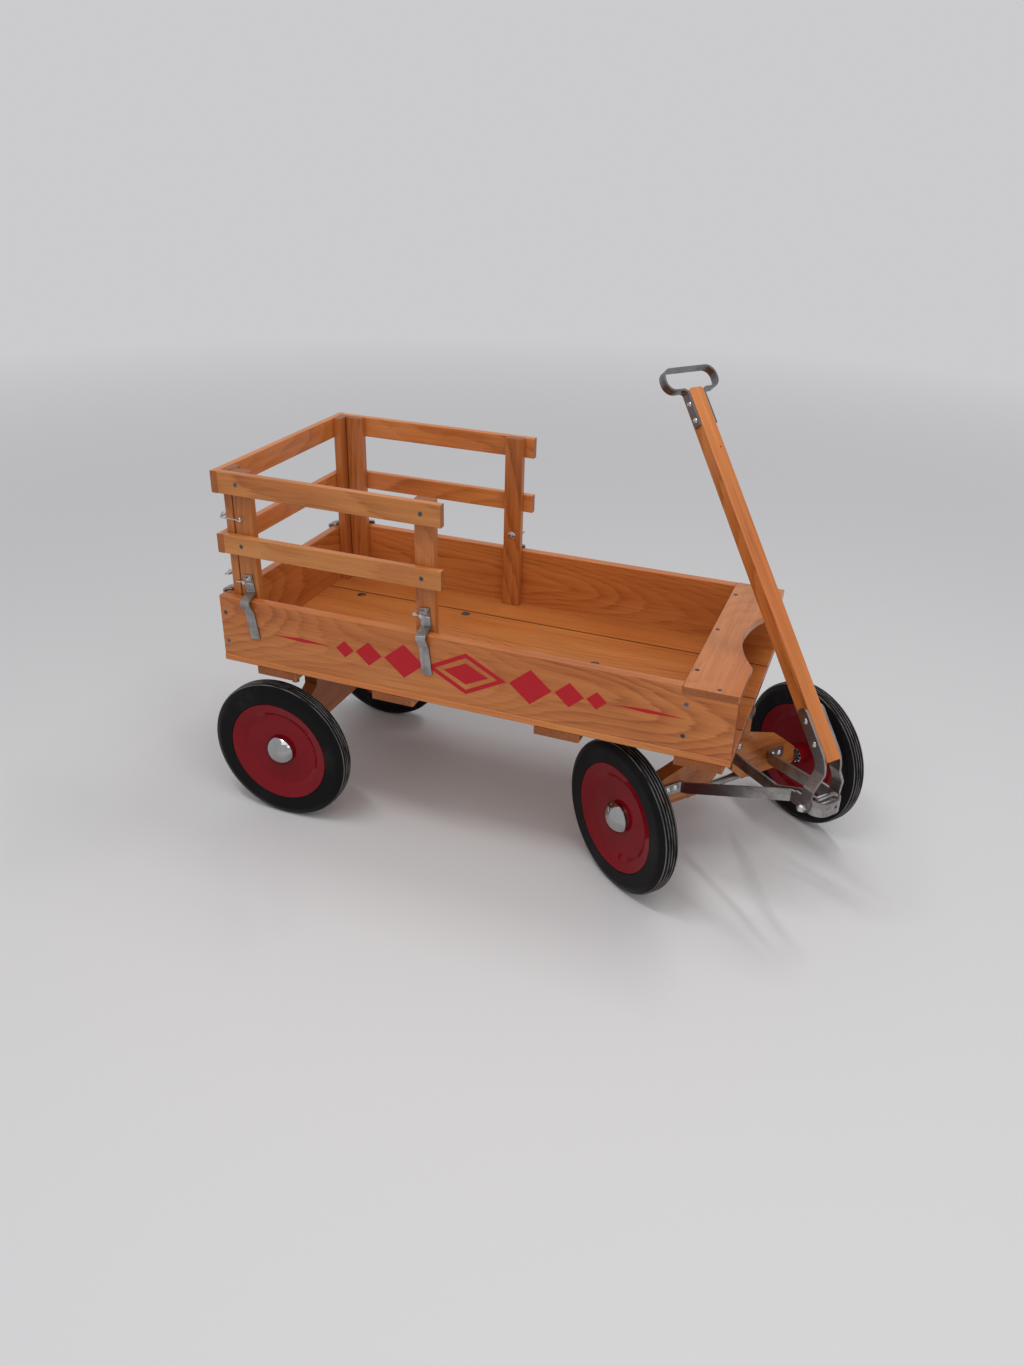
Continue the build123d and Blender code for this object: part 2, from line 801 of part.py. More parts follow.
def hitch_yoke():
    """U of flat steel, open to the rear, that carries the pivot bolt."""
    leg = yoke_half_width - strap_thickness / 2
    front = yoke_front - strap_thickness / 2
    plan = band(
        [(yoke_start, -leg), (front, -leg), (front, leg), (yoke_start, leg)],
        yoke_bend_radius,
        strap_thickness,
    )
    yoke = upward(plan, (pivot_z - yoke_drop, pivot_z + yoke_rise)) - pivot_hole()
    start = (front - strap_thickness, yoke_hole_offset, pivot_z + yoke_hole_rise)
    end = (front + strap_thickness, yoke_hole_offset, pivot_z + yoke_hole_rise)
    return yoke - rod(start, end, yoke_hole_radius)


def hitch_bolt():
    """Pivot bolt: round head on the left, acorn nut on the right."""
    head_y = handle_tab_out + gap
    shank = rod((0, -head_y - acorn_body + 2 * gap, 0), (0, head_y + gap, 0), pivot_radius)
    head = Location((0, head_y, 0), (-90, 0, 0)) * dome(hitch_head_radius, hitch_head_rise)
    nut = extrude(RegularPolygon(acorn_flats / 2, 6, major_radius=False), amount=acorn_body)
    nut += Pos(0, 0, acorn_body) * dome(acorn_flats / 2 - gap, acorn_rise)
    bore = Pos(0, 0, acorn_body / 2) * Cylinder(pivot_radius + seating, acorn_body)
    acorn = Location((0, -head_y, 0), (90, 0, 0)) * (nut - bore)
    return [Pos(pivot_forward, 0, pivot_z) * piece for piece in (shank + head, acorn)]


def hitch_spacer():
    """Tube on the pivot bolt between the middle brace and the yoke's left leg."""
    start = -center_strap_offset + strap_thickness / 2 + running
    end = yoke_half_width - strap_thickness - running
    bore = pivot_radius + 2 * running
    tube = turned([(bore, start), (spacer_radius, start), (spacer_radius, end), (bore, end)])
    return Pos(pivot_forward, 0, pivot_z) * tube


def gear_bolts():
    pieces = [piece for place in gear_bolt_places for piece in forward_bolt(*place)]
    pieces += [spot * wood_screw(bolster_screw_length / 2) for spot in lower_screw_spots()]
    return pieces


# ---------------------------------------------------------------- wheels, outward along +Y
def flange_out(radius):
    """Middle of the disc's sheet on its cone, at a radius."""
    slope = (disc_edge_out - disc_step_out) / (disc_radius - disc_step_radius)
    return disc_step_out + slope * (radius - disc_step_radius)


def wheel_tyre():
    """Solid rubber tyre with four grooves round its tread."""
    half = tyre_width / 2
    slack = disc_sheet / 2 + tyre_slack
    inner = rim_radius + seating
    lip = disc_radius + 2 * tyre_slack
    upper = [
        (inner, flange_out(inner) - slack),
        (lip, flange_out(lip) - slack),
        (lip + 3 * tyre_slack, half - tyre_slack),
        (wheel_radius - tyre_shoulder, half),
        (wheel_radius, half - tyre_shoulder / 2),
    ]
    profile = upper + [(r, -z) for r, z in reversed(upper)]
    radii = [2 * tyre_slack, tyre_slack, tyre_foot_round, tyre_shoulder, tyre_crown]
    outline = FilletPolyline(*profile, radius=radii + radii[::-1], close=True)
    tyre = revolve(make_face(outline), Axis.Y)
    for out in groove_outs:
        ring = [
            (wheel_radius + 1, out - groove_width / 2),
            (wheel_radius + 1, out + groove_width / 2),
            (wheel_radius - groove_depth, out + groove_width / 4),
            (wheel_radius - groove_depth, out - groove_width / 4),
        ]
        tyre -= turned(ring)
    return tyre


def wheel_disc():
    """Two dished steel discs, the rim band between them and the hub tube."""
    sheet = band(
        [
            (hub_radius + seating, disc_web_out),
            (disc_web_radius, disc_web_out),
            (disc_step_radius, disc_step_out),
            (disc_radius, disc_edge_out),
        ],
        disc_bend,
        disc_sheet,
    )
    outer = revolve(sheet, Axis.Y)
    rim_end = flange_out(rim_radius) - disc_sheet
    rim_inside = rim_radius - disc_sheet
    rim = turned(
        [(rim_inside, -rim_end), (rim_radius, -rim_end), (rim_radius, rim_end), (rim_inside, rim_end)]
    )
    hub = turned(
        [
            (hub_bore_radius, -hub_inner_end),
            (hub_radius, -hub_inner_end),
            (hub_radius, hub_outer_end),
            (hub_bore_radius, hub_outer_end),
        ]
    )
    return [outer, mirrored(outer), rim, hub]


def wheel_bearings():
    """Two rows of balls in the hub."""
    balls = []
    for row in (-ball_row_inner, ball_row_outer):
        for index in range(balls_per_race):
            angle = radians(360 / balls_per_race * index)
            place = Pos(ball_path_radius * cos(angle), row, ball_path_radius * sin(angle))
            balls.append(place * Sphere(ball_radius))
    return balls


def hub_cap():
    """Pressed dome over the axle's end, on a narrower neck that stands on the disc."""
    base = disc_web_out + disc_sheet / 2
    brim = base + cap_neck
    top = brim + cap_rise
    ball_r = (cap_radius**2 + cap_rise**2) / (2 * cap_rise)
    middle = top - ball_r
    inner_r = ball_r - cap_sheet
    inner_brim = brim + cap_sheet
    inner_foot = sqrt(inner_r**2 - (inner_brim - middle) ** 2)
    half = atan2(cap_radius, brim - middle) / 2         # halfway down the dome, from its axis
    inner_half = atan2(inner_foot, inner_brim - middle) / 2
    bore = cap_neck_radius - cap_sheet
    outline = [
        Line((cap_neck_radius, base), (cap_neck_radius, brim)),
        Line((cap_neck_radius, brim), (cap_radius, brim)),
        ThreePointArc(
            (cap_radius, brim), (ball_r * sin(half), middle + ball_r * cos(half)), (0, top)
        ),
        Line((0, top), (0, top - cap_sheet)),
        ThreePointArc(
            (0, top - cap_sheet),
            (inner_r * sin(inner_half), middle + inner_r * cos(inner_half)),
            (inner_foot, inner_brim),
        ),
        Line((inner_foot, inner_brim), (bore, inner_brim)),
        Line((bore, inner_brim), (bore, base)),
        Line((bore, base), (cap_neck_radius, base)),
    ]
    return revolve(make_face(outline), Axis.Y)


# ---------------------------------------------------------------- handle, upright in its own frame
grip_middle = -grip_setback
strap_middle = -handle_strap_setback


def handle_rivet_places():
    """(middle of the rivet across the bar, height, outside of the straps it joins)."""
    low = [(strap_middle, s, bar_width / 2 + strap_thickness) for s in handle_rivets]
    high = [(grip_middle, bar_length - s, bar_width / 2 + grip_sheet) for s in grip_rivets]
    return low + high


def rivet_holes(piece):
    for x, s, out in handle_rivet_places():
        piece -= rod((x, -out - 1, s), (x, out + 1, s), rivet_radius + seating)
    return piece


def handle_bar():
    """Tapered wooden bar with clipped top corners."""
    side_view = polygon(
        (0, 0), (0, bar_length), (-bar_top_thickness, bar_length), (-bar_foot_thickness, 0)
    )
    bar = across(side_view, bar_width / 2)
    half = bar_width / 2
    front_view = polygon(
        (-half, 0),
        (half, 0),
        (half, bar_length - bar_corner),
        (half - bar_corner, bar_length),
        (bar_corner - half, bar_length),
        (-half, bar_length - bar_corner),
    )
    bar = bar & along(front_view, (-bar_foot_thickness - 1, 1))
    long_edges = [edge for edge in bar.edges() if edge.length > bar_length / 2]
    bar = fillet(long_edges, bar_round)
    hole_z = bar_length - bar_hole_drop
    hole = rod((-bar_hole_depth, bar_hole_offset, hole_z), (1, bar_hole_offset, hole_z), bar_hole_radius)
    return rivet_holes(bar - hole)


def handle_grip():
    """Loop of flat steel riveted to the top of the bar."""
    leg = bar_width / 2 + grip_sheet / 2
    out = grip_half_width - grip_sheet / 2
    low = bar_length - grip_arm_drop
    high = low + grip_height
    loop = band(
        [
            (-leg, bar_length - grip_leg),
            (-leg, low),
            (-out, low),
            (-out, high),
            (out, high),
            (out, low),
            (leg, low),
            (leg, bar_length - grip_leg),
        ],
        [grip_leg_bend] + [grip_corner] * 4 + [grip_leg_bend],
        grip_sheet,
    )
    half = grip_strap_width / 2
    grip = along(loop, (grip_middle - half, grip_middle + half))
    return rivet_holes(grip)


def handle_strap():
    """Right handle strap in the gear's frame: on the bar's side, cranked out round the yoke."""
    lean = radians(bar_lean)
    up = (-sin(lean), cos(lean))
    out = (cos(lean), sin(lean))

    def on_bar(height):
        x = bar_foot_forward + up[0] * height + out[0] * strap_middle
        z = bar_foot_z + up[1] * height + out[1] * strap_middle
        return (x, z)

    top = on_bar(handle_strap_run)
    knee = on_bar(0)
    pivot = (pivot_forward, pivot_z)
    side_view = band([top, knee, pivot], handle_knee_bend, strap_height)
    side_view += Pos(*top) * Circle(strap_height / 2)
    side_view += Pos(*pivot) * Circle(strap_height / 2)
    inside = bar_width / 2 + strap_thickness / 2
    outside = handle_tab_out - strap_thickness / 2
    front_view = band(
        [
            (-inside, bar_foot_z + bar_length),
            (-inside, pivot_z + crank_top),
            (-outside, pivot_z + crank_foot),
            (-outside, pivot_z - strap_height),
        ],
        strap_bend,
        strap_thickness,
    )
    return across(side_view, deck_width) & along(front_view, (0, 2 * pivot_forward))


def handle_strap_holes(strap):
    strap -= pivot_hole()
    return bar_place.inverse() * strap


def rivets():
    pieces = []
    for x, s, out in handle_rivet_places():
        shank = rod((x, -out - gap, s), (x, out + gap, s), rivet_radius)
        left = Location((x, out, s), (-90, 0, 0)) * dome(rivet_head_radius, rivet_head_rise)
        right = Location((x, -out, s), (90, 0, 0)) * dome(rivet_head_radius, rivet_head_rise)
        pieces.append(shank + left + right)
    return pieces


# ---------------------------------------------------------------- racks
# A rack is drawn with X outward from its posts' outer face and Y along it.
rail_levels = [
    (rack_foot + lower_rail_bottom - gap, lower_rail_height),
    (rack_top - upper_rail_height, upper_rail_height),
]


def rack_posts(centres):
    posts = []
    for y in centres:
        post = block(
            (-post_thickness, 0), (y - post_width / 2, y + post_width / 2), (rack_foot, rack_top)
        )
        post = eased(post, Axis.Z)
        for bottom, height in rail_levels:
            spot = Location((rail_thickness, y, bottom + height / 2), (0, 90, 0))
            post -= spot * screw_blank(rail_screw_length, seating)
        bolt_place = Location((0, y, clip_bolt_height), (0, 90, 0))
        post -= bolt_place * Cylinder(clip_bolt_radius + seating, 3 * post_thickness)
        posts.append(post)
    return posts


def rack_rails(span, centres):
    rails = []
    for bottom, height in rail_levels:
        rail = block((0, rail_thickness), span, (bottom, bottom + height))
        rail = eased(rail, Axis.Y)
        for y in centres:
            spot = Location((rail_thickness, y, bottom + height / 2), (0, 90, 0))
            rail -= spot * screw_blank(rail_screw_length, seating)
        rails.append(rail)
    return rails


def rack_clips(centres, turns):
    """Bent straps that stand off over the board and rest against its outer face.

    Each is turned about its bolt by its own angle.
    """
    half = clip_sheet / 2
    rest = clip_offset + gap + half
    profile = band(
        [
            (half, clip_top - clip_bolt_height),
            (half, board_height + clip_knee_rise - clip_bolt_height),
            (clip_offset + clip_reach, board_height - clip_reach_drop - clip_bolt_height),
            (rest, board_height - clip_rest_drop - clip_bolt_height),
            (rest, clip_foot_height - clip_bolt_height),
        ],
        clip_bend,
        clip_sheet,
    )
    clip = across(profile, clip_width / 2)
    clip -= Rot(0, 90, 0) * Cylinder(clip_bolt_radius + seating, 3 * clip_sheet)
    return [Location((0, y, clip_bolt_height), (turn, 0, 0)) * clip for y, turn in zip(centres, turns)]


def wing_nut():
    """Wing nut standing on the origin, its wings along Y."""
    hub = Cone(wing_hub_radius, wing_hub_top_radius, wing_hub_height)
    hub = Pos(0, 0, wing_hub_height / 2) * hub
    outline = FilletPolyline(*wing_outline, radius=2, close=True)
    wing = extrude(Plane.YZ * make_face(outline), amount=wing_sheet / 2, both=True)
    body = hub + wing + mirrored(wing)
    return body - Cylinder(clip_bolt_radius + seating, 4 * wing_hub_height)


def clip_fasteners(centres):
    """Carriage bolts from inside the posts, with their wing nuts."""
    pieces = []
    grip = post_thickness + clip_sheet
    for y in centres:
        inside = Location((-post_thickness, y, clip_bolt_height), (0, -90, 0))
        bolt = carriage_bolt(grip, clip_bolt_tail, clip_bolt_radius, clip_head_radius, clip_head_rise)
        pieces.append(inside * bolt)
        outside = Location((clip_sheet, y, clip_bolt_height), (0, 90, 0))
        pieces.append(outside * wing_nut())
    return pieces


def rail_screws(centres):
    screws = []
    for y in centres:
        for bottom, height in rail_levels:
            spot = Location((rail_thickness, y, bottom + height / 2), (0, 90, 0))
            screws.append(spot * wood_screw(rail_screw_length))
    return screws


def ring(place, radius):
    """Wire ring round the given location's Z."""
    return place * Torus(radius, hook_wire)


side_centres = [
    rear_rack_face + gap + side_post_from_rear + post_width / 2,
    rear_rack_face + gap + side_post_from_rear + post_width * 1.5 + side_post_gap,
]
side_span = (rear_rack_face + gap, rear_rack_face + gap + rack_length)
rear_centres = [side * (rack_face - post_width / 2) for side in (-1, 1)]
rear_span = (-rack_face - rail_thickness, rack_face + rail_thickness)
right_place = Location((0, -rack_face, 0), (0, 0, -90))
rear_place = Location((rear_rack_face, 0, 0), (0, 0, 180))

eye_out = hook_eye_radius + hook_wire + gap         # middle of the screw eye's ring, off the post
hook_out = eye_out + hook_eye_radius        # where the hook hangs in the ring
hook_x = side_centres[0] - 1.0
hook_y = -rack_face - hook_out
catch_x = rear_rack_face - catch_eye_radius - hook_wire - gap
catch_y = -rack_face + catch_offset


def screw_eye():
    """Ring and shank in the right rack's rear post, which the hook hangs from."""
    y = -rack_face - eye_out
    eye = ring(Location((hook_x, y, hook_height), (0, 90, 0)), hook_eye_radius)
    start = (hook_x, y + hook_eye_radius, hook_height)
    return eye + rod(start, (hook_x, -rack_face + eye_shank, hook_height), hook_wire)


def catch_eye():
    """Ring and shank in the rear rack's right post, which the hook's tip drops into."""
    eye = ring(Location((catch_x, catch_y, hook_height), (90, 0, 0)), catch_eye_radius)
    start = (catch_x + catch_eye_radius, catch_y, hook_height)
    return eye + rod(start, (rear_rack_face + eye_shank, catch_y, hook_height), hook_wire)


def eye_hole(post, start, end):
    return post - rod(start, end, hook_wire + seating)


def hook():
    """Right hook: a loop in the screw eye, an arm to the rear and a tip turned inward."""
    loop = ring(Location((hook_x, hook_y, hook_height)), hook_loop_radius)
    path = FilletPolyline(
        (hook_x - hook_loop_radius, hook_y, hook_height),
        (catch_x, hook_y, hook_height),
        (catch_x, hook_y + hook_tip, hook_height),
        radius=hook_bend,
    )
    start = Plane(origin=(hook_x - hook_loop_radius, hook_y, hook_height), z_dir=(-1, 0, 0))
    return loop + sweep(start * Circle(hook_wire), path)


def side_rack():
    """Right rack's nodes in the wagon's frame."""
    posts = [right_place * post for post in rack_posts(side_centres)]
    start = (hook_x, -rack_face - 1, hook_height)
    posts[0] = eye_hole(posts[0], start, (hook_x, -rack_face + eye_shank + 0.5, hook_height))
    fasteners = [right_place * p for p in clip_fasteners(side_centres) + rail_screws(side_centres)]
    return {
        "posts": posts,
        "rails": [right_place * rail for rail in rack_rails(side_span, side_centres)],
        "clips": [right_place * clip for clip in rack_clips(side_centres, side_clip_turns)],
        "fasteners": fasteners + [screw_eye()],
    }


def rear_rack():
    posts = [rear_place * post for post in rack_posts(rear_centres)]
    holed = []
    for post in posts:
        for flip in (-1, 1):
            start = (rear_rack_face - 1, catch_y * flip, hook_height)
            end = (rear_rack_face + eye_shank + 0.5, catch_y * flip, hook_height)
            post = eye_hole(post, start, end)
        holed.append(post)
    fasteners = [rear_place * p for p in clip_fasteners(rear_centres) + rail_screws(rear_centres)]
    return {
        "posts": holed,
        "rails": [rear_place * rail for rail in rack_rails(rear_span, rear_centres)],
        "clips": [rear_place * clip for clip in rack_clips(rear_centres, (0, 0))],
        "fasteners": fasteners + [catch_eye(), mirrored(catch_eye())],
    }


# ---------------------------------------------------------------- writing the nodes
def save_box():
    save("deck_planks", *deck_planks())
    save("deck_cleats", *deck_cleats())
    save("deck_bolts", *deck_bolts())
    save("right_side_board", side_board(-1))
    save("left_side_board", side_board(1))
    save("rear_board", rear_board())
    save("front_board", front_board())
    save("seat_board", seat_board())
    save("box_screws", *box_screws())
    save("rear_bolster", rear_bolster())
    save("rear_axle", Pos(rear_axle_x, 0, 0) * axle(rear_track))
    hardware = axle_hardware(rear_track, rear_staples)
    save("rear_axle_hardware", *[Pos(rear_axle_x, 0, 0) * piece for piece in hardware])
    save("upper_turntable", upper_turntable())
    save("king_bolt", *king_bolt())


def save_gear():
    hound = hound_strap()
    nodes = {
        "front_bolster": [front_bolster()],
        "front_axle": [axle(front_track)],
        "front_axle_hardware": axle_hardware(front_track, front_staples),
        "lower_turntable": [lower_turntable()],
        "right_hound_strap": [hound],
        "left_hound_strap": [mirrored(hound)],
        "center_strap": [center_strap()],
        "hitch_yoke": [hitch_yoke()],
        "hitch_bolt": hitch_bolt(),
        "hitch_spacer": [hitch_spacer()],
        "gear_bolts": gear_bolts(),
    }
    for name, pieces in nodes.items():
        save(name, *[gear_place * piece for piece in pieces])


def save_wheels():
    parts = {
        "tyre": [wheel_tyre()],
        "disc": wheel_disc(),
        "bearings": wheel_bearings(),
        "hub_cap": [hub_cap()],
    }
    rear_axle_place = Pos(rear_axle_x, 0, 0)
    for end, place, track in (("rear", rear_axle_place, rear_track), ("front", gear_place, front_track)):
        for side, flip in (("right", 180), ("left", 0)):
            y = track / 2 if flip == 0 else -track / 2
            spot = place * Location((0, y, axle_z), (0, 0, flip))
            for name, pieces in parts.items():
                save(f"{end}_{side}_{name}", *[spot * piece for piece in pieces])


def save_handle():
    place = gear_place * bar_place
    strap = rivet_holes(handle_strap_holes(handle_strap()))
    save("handle_bar", place * handle_bar())
    save("handle_grip", place * handle_grip())
    save("right_handle_strap", place * strap)
    save("left_handle_strap", place * mirrored(strap))
    save("handle_rivets", *[place * rivet for rivet in rivets()])


def save_racks():
    right = side_rack()
    rear = rear_rack()
    for name, pieces in right.items():
        save(f"right_rack_{name}", *pieces)
        save(f"left_rack_{name}", *[mirrored(piece) for piece in pieces])
    for name, pieces in rear.items():
        save(f"rear_rack_{name}", *pieces)
    save("right_hook", hook())
    save("left_hook", mirrored(hook()))


os.makedirs("parts", exist_ok=True)
save_box()
save_gear()
save_wheels()
save_handle()
save_racks()
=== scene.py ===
import json
from math import atan2, radians

import bpy
from mathutils import Euler, Matrix, Vector


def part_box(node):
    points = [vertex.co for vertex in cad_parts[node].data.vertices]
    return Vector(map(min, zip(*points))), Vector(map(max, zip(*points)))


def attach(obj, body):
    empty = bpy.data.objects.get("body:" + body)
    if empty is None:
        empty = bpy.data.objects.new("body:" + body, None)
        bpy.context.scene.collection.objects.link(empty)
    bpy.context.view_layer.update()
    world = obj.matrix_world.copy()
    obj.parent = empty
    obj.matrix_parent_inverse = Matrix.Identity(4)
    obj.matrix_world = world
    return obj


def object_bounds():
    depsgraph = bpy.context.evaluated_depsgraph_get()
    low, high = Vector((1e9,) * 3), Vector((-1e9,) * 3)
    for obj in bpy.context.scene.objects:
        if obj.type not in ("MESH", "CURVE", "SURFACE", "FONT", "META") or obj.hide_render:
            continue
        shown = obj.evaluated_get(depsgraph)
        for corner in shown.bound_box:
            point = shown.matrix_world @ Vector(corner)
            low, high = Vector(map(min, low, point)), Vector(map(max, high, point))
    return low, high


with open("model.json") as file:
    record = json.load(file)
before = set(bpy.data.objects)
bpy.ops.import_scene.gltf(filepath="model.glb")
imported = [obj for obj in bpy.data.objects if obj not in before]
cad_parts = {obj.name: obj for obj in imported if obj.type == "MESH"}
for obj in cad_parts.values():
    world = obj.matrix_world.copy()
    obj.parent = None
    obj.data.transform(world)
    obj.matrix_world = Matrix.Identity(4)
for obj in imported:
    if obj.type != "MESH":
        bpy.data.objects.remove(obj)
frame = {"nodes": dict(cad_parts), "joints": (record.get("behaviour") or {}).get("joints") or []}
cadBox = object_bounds()
print("frame loaded:", len(frame["nodes"]), "pieces")

# The front gear stands turned at rest, and its hitch axis tells by how much.
joints = {joint["name"]: joint for joint in frame["joints"]}
hitchAxis = Vector(joints["pull_handle"]["axis"])
gearTurn = -atan2(hitchAxis.x, hitchAxis.y)
floorHeight = cadBox[0].z


viewpoint = {
    "place": (0.5732, -1.5018, 0.7979),   # metres from the middle of the deck
    "pan": -20.5,                         # degrees from +Y towards +X
    "tilt": 28.23,                        # degrees down
    "roll": 1.55,                         # degrees
    "lens": 27.84,                        # mm, for a long side of 36 mm
    "reach": 200.0,                       # metres, the farthest that it sees
}

studio = {
    "background": (0.60, 0.60, 0.615),
    "worldStrength": 0.66,                # what lights the wagon
    "shownStrength": 1.0,                 # what the camera and the bright metal see
    "floor": (0.74, 0.735, 0.74),
    "floorRoughness": 0.7,
    "floorSize": 60.0,
    "fadeStart": 1.0,                     # metres from the floor's middle, where it starts to pale
    "fadeEnd": 4.5,
    "lampTarget": (0.05, 0.0, 0.0),
    "lamps": (                            # place, length, width, watts
        ((0.8, -1.5, 2.8), 2.4, 2.4, 26.0),
        ((-0.5, -1.1, 2.5), 1.3, 0.12, 15.0),
        ((0.9, 0.7, 2.5), 1.3, 0.12, 13.0),
        ((2.3, -1.6, 1.2), 0.9, 0.9, 5.0),
    ),
}


def addCamera():
    bpy.ops.object.camera_add(location=(0, 0, 0))
    camera = bpy.context.object
    camera.name = "camera"
    look = Matrix.Rotation(-radians(viewpoint["pan"]), 4, "Z")
    look = look @ Matrix.Rotation(radians(90 - viewpoint["tilt"]), 4, "X")
    look = look @ Matrix.Rotation(radians(viewpoint["roll"]), 4, "Z")
    camera.matrix_world = Matrix.Translation(viewpoint["place"]) @ look
    camera.data.lens = viewpoint["lens"]
    camera.data.clip_end = viewpoint["reach"]
    bpy.context.scene.camera = camera


def addLamps():
    target = Vector(studio["lampTarget"])
    for place, length, width, watts in studio["lamps"]:
        bpy.ops.object.light_add(type="AREA", location=place)
        lamp = bpy.context.object
        lamp.rotation_euler = (target - Vector(place)).to_track_quat("-Z", "Y").to_euler()
        lamp.data.shape = "RECTANGLE"
        lamp.data.size = length
        lamp.data.size_y = width
        lamp.data.energy = watts


def asColour(value):
    return value if isinstance(value, Lead) else (*value, 1)


class Lead:
    # One socket of a material, with arithmetic.
    def __init__(self, finish, socket):
        self.finish = finish
        self.socket = socket

    def __add__(self, other):
        return self.finish.maths("ADD", self, other)

    def __radd__(self, other):
        return self.finish.maths("ADD", other, self)

    def __sub__(self, other):
        return self.finish.maths("SUBTRACT", self, other)

    def __rsub__(self, other):
        return self.finish.maths("SUBTRACT", other, self)

    def __mul__(self, other):
        return self.finish.maths("MULTIPLY", self, other)

    def __rmul__(self, other):
        return self.finish.maths("MULTIPLY", other, self)

    def __truediv__(self, other):
        return self.finish.maths("DIVIDE", self, other)

    def __pow__(self, other):
        return self.finish.maths("POWER", self, other)

    def __gt__(self, other):
        return self.finish.maths("GREATER_THAN", self, other)

    def __lt__(self, other):
        return self.finish.maths("LESS_THAN", self, other)


class Finish:
    # A material and its nodes, or the nodes of the tree that is given.
    def __init__(self, name, tree=None):
        if tree is None:
            self.material = bpy.data.materials.new(name)
            self.material.use_nodes = True
            tree = self.material.node_tree
        self.tree = tree
        self.tree.nodes.clear()
        self.objectPlace = None

    def node(self, kind, settings=None, values=None, out=0):
        made = self.tree.nodes.new("ShaderNode" + kind)
        for key, value in (settings or {}).items():
            if key == "stops":
                ramp = made.color_ramp.elements
                while len(ramp) < len(value):
                    ramp.new(1.0)
                for stop, (at, colour) in zip(ramp, value):
                    stop.position = at
                    stop.color = (*colour, 1)
            else:
                setattr(made, key, value)
        for key, value in (values or {}).items():
            if isinstance(value, Lead):
                self.tree.links.new(value.socket, made.inputs[key])
            else:
                made.inputs[key].default_value = value
        return Lead(self, made.outputs[out])

    def maths(self, operation, first, second=0.0):
        return self.node("Math", {"operation": operation}, {0: first, 1: second})

    def place(self):
        if self.objectPlace is None:
            self.objectPlace = self.node("TexCoord", out="Object")
        return self.objectPlace

    def mapped(self, centre=(0, 0, 0), turn=(0, 0, 0)):
        values = {"Vector": self.place(), "Location": centre, "Rotation": turn}
        return self.node("Mapping", {"vector_type": "TEXTURE"}, values)

    def parts(self, vector):
        first = self.node("SeparateXYZ", {}, {0: vector})
        outputs = first.socket.node.outputs
        return [Lead(self, outputs[index]) for index in range(3)]

    def joined(self, x, y, z):
        return self.node("CombineXYZ", {}, {0: x, 1: y, 2: z})

    def stretched(self, vector, amounts):
        return self.node("VectorMath", {"operation": "MULTIPLY"}, {0: vector, 1: amounts})

    def noise(self, vector, scale, detail, roughness=0.5):
        values = {"Vector": vector, "Scale": scale, "Detail": detail, "Roughness": roughness}
        return self.node("TexNoise", {}, values)

    def range(self, value, low, high, start=0.0, end=1.0):
        values = {0: value, 1: low, 2: high, 3: start, 4: end}
        return self.node("MapRange", {"clamp": True}, values)

    def mix(self, factor, first, second, blend="MIX"):
        settings = {"data_type": "RGBA", "blend_type": blend}
        values = {0: factor, 6: asColour(first), 7: asColour(second)}
        return self.node("Mix", settings, values, out=2)

    def bump(self, height, strength, distance):
        values = {"Strength": strength, "Distance": distance, "Height": height}
        return self.node("Bump", {}, values)

    def surface(self, values):
        self.putOut(self.node("BsdfPrincipled", {}, values))
        return self.material

    def putOut(self, shader, kind="OutputMaterial"):
        output = self.tree.nodes.new("ShaderNode" + kind)
        self.tree.links.new(shader.socket, output.inputs[0])


# turns of a pattern, which bring its X onto the way the grain or the brushing runs
barLean = 40.4                    # degrees back from upright, in the turned gear
alongX = (0, 0, 0)
alongY = (0, 0, radians(90))
alongZ = (0, radians(-90), 0)
alongGear = (0, 0, gearTurn)
acrossGear = (0, 0, gearTurn + radians(90))
alongBar = (0, radians(-90 - barLean), gearTurn)


